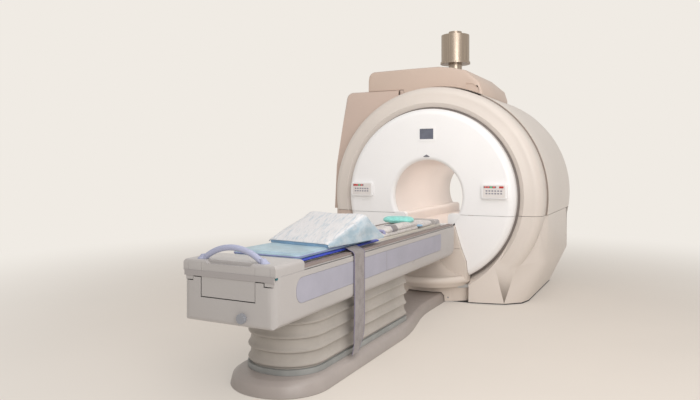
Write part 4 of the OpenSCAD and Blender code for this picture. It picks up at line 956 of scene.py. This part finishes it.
def make_wedge_cover(wedge):
    """Thin crinkled hygiene cover laid over the wedge's slopes, hanging over its sides."""
    tree = tree_of(wedge)
    turn = Matrix.Rotation(math.radians(WEDGE_TURN), 4, "Z")
    at = Vector(WEDGE_AT + (WEDGE_Z,))
    across, along = 60, 90
    foot, head = -WEDGE_L / 2 - 0.002, WEDGE_L / 2 - 0.012
    half = WEDGE_W / 2
    width = 2 * half + FILM_DROP_LEFT + FILM_DROP_RIGHT

    def wedge_at(x, y):
        return hit_from(tree, at + turn @ Vector((x, y, 0.4)), DOWN, 0.6)

    points = []
    for j in range(along + 1):
        y = foot + (head - foot) * j / along
        top, _ = wedge_at(0, y)
        crest = (top.z - WEDGE_Z) if top else 0.02
        for i in range(across + 1):
            s = -half - FILM_DROP_LEFT + width * i / across
            side = max(0.0, abs(s) - half + 0.004)
            if side <= 0:
                place, normal = wedge_at(s, y)
                if place is None:
                    place, normal = at + turn @ Vector((s, y, crest)), UP
                lift = 0.0035 + max(0.0, crinkle(s, y, 0) + 0.001)
                points.append(place + normal * lift)
            else:
                sign = 1 if s > 0 else -1
                place, _ = wedge_at(sign * (half - 0.006), y)
                z_edge = (place.z if place else WEDGE_Z + crest) + 0.003
                if sign > 0:
                    z = z_edge - (z_edge - WEDGE_Z - 0.003) * min(1.0, side / FILM_DROP_RIGHT)
                else:
                    z = max(WEDGE_Z + 0.002, z_edge - side * min(1.0, max(0.25, crest / 0.16)))
                start = at + turn @ Vector((sign * (half + 0.08), y, z - WEDGE_Z))
                wall, _ = hit_from(tree, start, turn @ Vector((-sign, 0, 0)), 0.14)
                x_out = (turn.inverted() @ (wall - at)).x if wall else sign * half
                billow = 0.003 + max(0, 2.4 * crinkle(y * 2.1, z * 3, s) + 0.002)
                puff = 0.004 + min(1, (z_edge - z) / 0.03) * billow
                points.append(at + turn @ Vector((x_out + sign * puff, y, z - WEDGE_Z)))
    cover = mesh_piece("wedge_cover_film", points, grid(along + 1, across + 1), "cover_film")
    relax(cover, 3)
    lay_on(cover, tree, FILM_GAP)
    for _ in range(2):
        relax(cover, 2)
        lay_on(cover, tree, FILM_GAP)
    settle(cover, WEDGE_Z + 0.0014)
    modify(cover, "SOLIDIFY", thickness=FILM_T, offset=1)
    soften(cover, 70)
    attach(cover, "tabletop")


COIL_PAD, COIL_PAD_AT = (0.192, 0.352, 0.042, 0.055, 0.7), (0.11, -0.52)
COIL_ROLL, COIL_ROLL_AT = (0.112, 0.712, 0.046, 0.05, 1.0, 9), (0.15, -1.10)


def make_coil():
    """Folded flexible coil: a thin mat, a long padded roll on it, a flap, and a pad at its head end."""
    cloth = "white_cloth"
    base = cushion("coil_mat", (0.272, 0.772, 0.030, 0.04, 0.5), 0, (0.07, -1.13, MAT_Z), cloth,
                   (2.5, 0.005, 0.007), MAT_Z)
    roll = cushion("coil_roll", COIL_ROLL, 0, COIL_ROLL_AT + (MAT_Z + 0.024,), cloth, (4.0, 0.006, 0.006))
    pad = cushion("coil_end_pad", COIL_PAD, 3, COIL_PAD_AT + (MAT_Z,), cloth, (3.0, 0.006, 0.006), MAT_Z)
    flap = cushion("coil_flap", (0.13, 0.70, 0.016, 0.05, 0.8), -1, (0.02, -1.13, MAT_Z + 0.031), cloth,
                   (2.0, 0.004, 0.006))
    for piece, node in ((base, None), (roll, "flex_coil"), (pad, None), (flap, None)):
        soft(piece, node)
    return roll, pad


def make_oval_cushion():
    """Teal oval cushion that lies on the folded coil."""
    oval = cushion("oval_soft", (0.292, 0.222, 0.032, 0.105, 1.1, 9), 0, (0.06, -0.88, MAT_Z + 0.0723),
                   "teal_cloth", (5.0, 0.009, 0.005))
    soft(oval, "oval_cushion")


def ribbon(name, centre, width, thick, rows, waves):
    """A flat strap along its centre line, with its own UV: across and along, in strap widths."""
    way = Vector((0, 1, 0))
    lengths = [0.0]
    for a, b in zip(centre, centre[1:]):
        lengths.append(lengths[-1] + (b - a).length)
    points, uvs = [], []
    for k, p in enumerate(centre):
        for i in range(rows + 1):
            s = i / rows - 0.5
            ripple = waves * noise.noise(Vector((s * 4, lengths[k] * 9, 1.7)))
            along = (centre[min(k + 1, len(centre) - 1)] - centre[max(k - 1, 0)]).normalized()
            out = way.cross(along)
            points.append(p + way * (s * width) + out * ripple)
            uvs.append((s + 0.5, lengths[k] / width))
    piece = mesh_piece(name, points, grid(len(centre), rows + 1), "webbing")
    layer = piece.data.uv_layers.new(name="strap")
    for loop in piece.data.loops:
        layer.data[loop.index].uv = uvs[loop.vertex_index]
    modify(piece, "SOLIDIFY", thickness=thick, offset=0)
    soften(piece, 60)
    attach(piece, "tabletop")
    return piece


def smooth_route(points, step=0.012):
    """Catmull-Rom line through the points, in short steps."""
    pts = [Vector(p) for p in points]
    pts = [pts[0] * 2 - pts[1]] + pts + [pts[-1] * 2 - pts[-2]]
    route = []
    for a, b, c, d in zip(pts, pts[1:], pts[2:], pts[3:]):
        count = max(2, int((c - b).length / step))
        for k in range(count):
            t = k / count
            route.append(0.5 * ((2 * b) + (c - a) * t + (2 * a - 5 * b + 4 * c - d) * t * t
                                + (3 * b - a - 3 * c + d) * t ** 3))
    route.append(pts[-2])
    return route


STRAP_Y, STRAP_W, STRAP_T, STRAP_TOP = -2.208, 0.160, 0.0024, 0.8166


def make_strap():
    """Webbing strap: from under the pad, over the rail, down beside the couch, its end swung to the foot."""
    route = smooth_route([(x, STRAP_Y - back, z) for x, back, z in (
        (0.257, 0, 0.8155), (0.272, 0, 0.8135), (0.295, 0, 0.8015), (0.314, 0, 0.7945), (0.3255, 0, 0.783),
        (0.3285, 0, 0.765), (0.3292, 0, 0.70), (0.3292, 0, 0.60), (0.3295, 0, 0.50), (0.3300, 0.002, 0.40),
        (0.3300, 0.006, 0.30), (0.3295, 0.012, 0.22), (0.3290, 0.020, 0.165), (0.3285, 0.034, 0.118))])
    strap = ribbon("strap_webbing", route, STRAP_W, STRAP_T, 10, 0.0012)
    for v in strap.data.vertices:
        low = clamp((0.24 - v.co.z) / 0.12)
        v.co.y = STRAP_Y + (v.co.y - STRAP_Y) * (1 - 0.45 * low) - 0.05 * low * low
    strap.data.update()
    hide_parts("body_strap")
    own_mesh(strap)


def make_coil_band(roll, y=-1.28, first=-25, sweep=230, steps=24, reach=0.15, gap=0.0022):
    """Grey band round the folded coil."""
    tree = tree_of(roll)
    route = []
    for k in range(steps + 1):
        a = math.radians(first + sweep * k / steps)
        out = Vector((math.cos(a), 0, math.sin(a)))
        place, _ = hit_from(tree, Vector((COIL_ROLL_AT[0], y, MAT_Z + 0.045)) + out * reach, -out, reach)
        if place:
            route.append(place + out * gap)
    ribbon("coil_band", route, 0.10, 0.002, 6, 0.0006)


def make_coil_plug():
    """Soft knot in the coil's cable end, and the light blue tab at its other end."""
    x, y, z = 0.155, -1.474, MAT_Z + 0.030
    ring = [(x + 0.030 * math.cos(a), y + 0.004 * math.sin(2 * a), z + 0.017 * math.sin(a))
            for a in full_turn(30)]
    knot = mesh_piece("coil_knot", *tube(ring, 0.0125, 14), "knot_cloth")
    face_out(knot, 60)
    tab = cushion("coil_tab", (0.10, 0.075, 0.018, 0.03, 0.8), 0, (0.165, -0.700, MAT_Z + 0.016), "tip_blue")
    subdivide(tab, 2)
    soften(tab, 70)
    for piece in (knot, tab):
        soft(piece)


def handle_foot(side, arc=0.317, centre_z=0.606, meets_z=0.8345, y=-3.150, low=0.8318):
    """Flared foot where the tube handle's arc meets the hood."""
    a = math.asin((meets_z - centre_z) / arc)
    angles = full_turn(32)
    rings = []
    for height, r in ((0.0, 0.0275), (0.004, 0.0270), (0.010, 0.0225), (0.018, 0.0190), (0.026, 0.0176)):
        x, z = side * arc * math.cos(a) - side * height * math.sin(a) * 0.9, low + height * math.cos(a * 0.2)
        rings.append([(x + r * math.cos(t), y + r * math.sin(t), z) for t in angles])
    points, faces = loft(rings)
    fitting(mesh_piece("handle_foot_" + hand(side), points, faces + caps_of(rings), "handle"), 50, "couch")


def stitch_tree():
    """Stitches along the edges of the given line: Spacing, Length, Thickness."""
    tree, given, made = node_group("stitches along a line", [
        ("Spacing", "NodeSocketFloat", 0.006), ("Length", "NodeSocketFloat", 0.004),
        ("Thickness", "NodeSocketFloat", 0.0005), ("Material", "NodeSocketMaterial", None)])
    to_curve, spread, one, on_points, realize, paint = new_nodes(
        tree, "GeometryNode", "MeshToCurve", "CurveToPoints", "MeshCylinder", "InstanceOnPoints",
        "RealizeInstances", "SetMaterial")
    spread.mode = "LENGTH"
    one.inputs["Vertices"].default_value = 6
    wire(tree, (given, "Geometry", to_curve, "Mesh"), (to_curve, "Curve", spread, "Curve"),
         (given, "Spacing", spread, "Length"), (given, "Length", one, "Depth"),
         (given, "Thickness", one, "Radius"), (spread, "Points", on_points, "Points"),
         (spread, "Rotation", on_points, "Rotation"),
         (one, "Mesh", on_points, "Instance"), (on_points, "Instances", realize, "Geometry"),
         (realize, "Geometry", paint, "Geometry"), (given, "Material", paint, "Material"),
         (paint, "Geometry", made, "Geometry"))
    return tree


STITCHES = stitch_tree()


def stitched_edge(name, pad, form, at, inset, finish):
    """Stitches round a pad's edge, laid on its surface from above."""
    tree, top = tree_of(pad), 0.3
    line = []
    for x, y in dense_outline(round_outline(form[0], form[1], form[3]), 0.012):
        shrink = 1 - inset / math.hypot(x, y)
        above = Vector((at[0] + x * shrink, at[1] + y * shrink, MAT_Z + top))
        place, _ = hit_from(tree, above, DOWN, top + 0.1)
        if place:
            line.append(place + UP * 0.0004)
    seam = mesh_piece(name, line, [], edges=[(i, i + 1) for i in range(len(line) - 1)])
    bake_nodes(seam, STITCHES, Spacing=0.007, Length=0.0045, Thickness=0.0006, Material=finishes[finish])
    soften(seam, 60)
    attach(seam, "tabletop")


make_mat()
knee_pad = make_knee_pad()
wedge = make_wedge()
make_wedge_cover(wedge)
coil_roll, coil_pad = make_coil()
make_coil_band(coil_roll)
stitched_edge("knee_pad_stitches", knee_pad, (PAD_W, PAD_L, PAD_T, PAD_R), PAD_AT, 0.022, "piping")
stitched_edge("coil_pad_stitches", coil_pad, COIL_PAD, COIL_PAD_AT, 0.016, "grey_thread")
stitched_edge("coil_roll_stitches", coil_roll, COIL_ROLL, COIL_ROLL_AT, 0.012, "grey_thread")
make_oval_cushion()
make_coil_plug()
for side in (1, -1):
    handle_foot(side)
make_strap()


# Keypads: the flexible sheet with its raised keys, each key a small domed button

KEY_W, KEY_H, KEY_R = 0.0184, 0.0134, 0.0028
KEY_ROWS, KEYS_IN_ROW, KEY_STEP_X, KEY_STEP_Z = 2, 6, 0.028, 0.025
KEYS_TOP_Z, KEYPAD_FRONT = 1.114, -0.0366
READOUT_W, READOUT_H, READOUT_Z = 0.120, 0.017, 1.150
SEGMENT_W, SEGMENT_H, SEGMENT_STEP = 0.017, 0.009, 0.027


def key_cap(name, finish):
    """One domed key cap, its back on the keypad's raised key."""
    outline = round_outline(KEY_W, KEY_H, KEY_R, 4)
    rings = [[(x * s, KEYPAD_FRONT - d, z * s) for x, z in outline] for s, d in
             ((1.0, -0.0002), (1.0, 0.0006), (0.95, 0.0010), (0.6, 0.0012))]
    points, faces = loft(rings)
    cap = mesh_piece(name, points, faces + caps_of(rings), finish)
    face_out(cap)
    return cap


def make_keys(side, centre_x):
    """Two rows of key caps by Geometry Nodes, and the readout with its lit segments."""
    rows = []
    for row in range(KEY_ROWS):
        caps = key_cap(f"{side}_keys_{row}", "key_grey")
        bake_nodes(caps, REPEAT, Count=KEYS_IN_ROW, Step=(KEY_STEP_X, 0.0, 0.0),
                   Material=finishes["key_grey"], **{"Merge distance": 0.00001})
        caps.data.transform(Matrix.Translation((centre_x - 0.070, 0, KEYS_TOP_Z - row * KEY_STEP_Z)))
        rows.append(caps)
    join(rows)
    soften(rows[0], 40)
    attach(rows[0], "gantry")
    x, z, front = centre_x - 0.038, READOUT_Z, KEYPAD_FRONT
    bar(f"{side}_readout", (x - READOUT_W / 2, front - 0.0006, z - READOUT_H / 2),
        (x + READOUT_W / 2, front + 0.0004, z + READOUT_H / 2), "readout", 0.0003, "gantry")
    for k, colour in enumerate(("lit_red", "lit_red", "lit_green", "lit_red")):
        start = x - 0.050 + k * SEGMENT_STEP
        bar(f"{side}_segment_{k}", (start, front - 0.0010, z - SEGMENT_H / 2),
            (start + SEGMENT_W, front - 0.0005, z + SEGMENT_H / 2), colour, 0.0002, "gantry")


dress("left_keypad", "keypad", 0.0004)
dress("right_keypad", "keypad", 0.0004)
make_keys("left", -0.712)
make_keys("right", 0.692)


# Room: a plain pale floor and backdrop, and soft lamps

BACKDROP = tint(240, 235, 228)
HAZE_FROM, HAZE_FULL, HAZE_LEAST = 1.5, 7.0, 0.34


def stage_plane(name, half, rgb):
    """A square of floor that fades into the backdrop with the distance from the middle."""
    plane = mesh_piece(name, [(-half, -half, 0), (half, -half, 0), (half, half, 0), (-half, half, 0)],
                       [(0, 1, 2, 3)])
    f = Finish(name, rgb, 0.7, Specular_IOR_Level=0.1)
    f.paint(f.mix(f.drift(0.8, 2), f.tone(0.99), f.tone(1.01)))
    away = f.node("ShaderNodeVectorMath", {0: f.place}, operation="LENGTH").outputs["Value"]
    far = f.node("ShaderNodeMapRange", {"Value": away, "From Min": HAZE_FROM, "From Max": HAZE_FULL,
                                        "To Min": HAZE_LEAST}, interpolation_type="SMOOTHSTEP")
    haze = f.node("ShaderNodeEmission", {"Color": BACKDROP, "Strength": 1.0})
    blend = f.node("ShaderNodeMixShader")
    wire(f.tree, (far, "Result", blend, 0), (f.shader, "BSDF", blend, 1), (haze, "Emission", blend, 2),
         (blend, "Shader", f.tree.nodes["Material Output"], "Surface"))
    plane.data.materials.append(f.material)


def room_light(lit_by, strength):
    """Even light from all round; the camera and the reflections see the backdrop instead."""
    world = bpy.data.worlds.new("room light")
    scene.world = world
    world.use_nodes = True
    tree = world.node_tree
    tree.nodes.clear()
    path, either, seen, room, backdrop, blend, out = new_nodes(
        tree, "ShaderNode", "LightPath", "Math", "Math", "Background", "Background", "MixShader",
        "OutputWorld")
    either.operation = seen.operation = "MAXIMUM"
    for node, colour, value in ((room, lit_by, strength), (backdrop, BACKDROP, 1.0)):
        node.inputs["Color"].default_value = colour
        node.inputs["Strength"].default_value = value
    wire(tree, (path, "Is Camera Ray", either, 0), (path, "Is Glossy Ray", either, 1), (either, 0, seen, 0),
         (path, "Is Transmission Ray", seen, 1), (seen, 0, blend, "Fac"), (room, 0, blend, 1),
         (backdrop, 0, blend, 2), (blend, 0, out, "Surface"))


def soft_lamp(name, at, look_at, size, watts, rgb):
    """A large lamp with soft shadows, aimed at a place."""
    data = bpy.data.lights.new(name, "AREA")
    assign(data, shape="RECTANGLE", size=size[0], size_y=size[1], energy=watts, color=tint(*rgb)[:3])
    lamp = bpy.data.objects.new(name, data)
    lamp.location = at
    lamp.rotation_euler = (Vector(look_at) - Vector(at)).to_track_quat("-Z", "Y").to_euler()
    scene.collection.objects.link(lamp)


stage_plane("floor", 30, (218, 206, 193))
room_light(tint(250, 247, 245), 0.50)
soft_lamp("ceiling", (1.6, -2.6, 4.4), (0.2, -0.9, 0.3), (4.0, 4.5), 92, (255, 252, 250))
soft_lamp("front right", (3.4, -5.0, 2.6), (0.3, -0.2, 1.1), (2.6, 2.2), 88, (255, 252, 250))
soft_lamp("tunnel", (0.0, 0.95, 1.36), (0.0, 0.95, 0.8), (0.30, 1.3), 2.7, (255, 252, 249))

scene.view_settings.view_transform = "Standard"
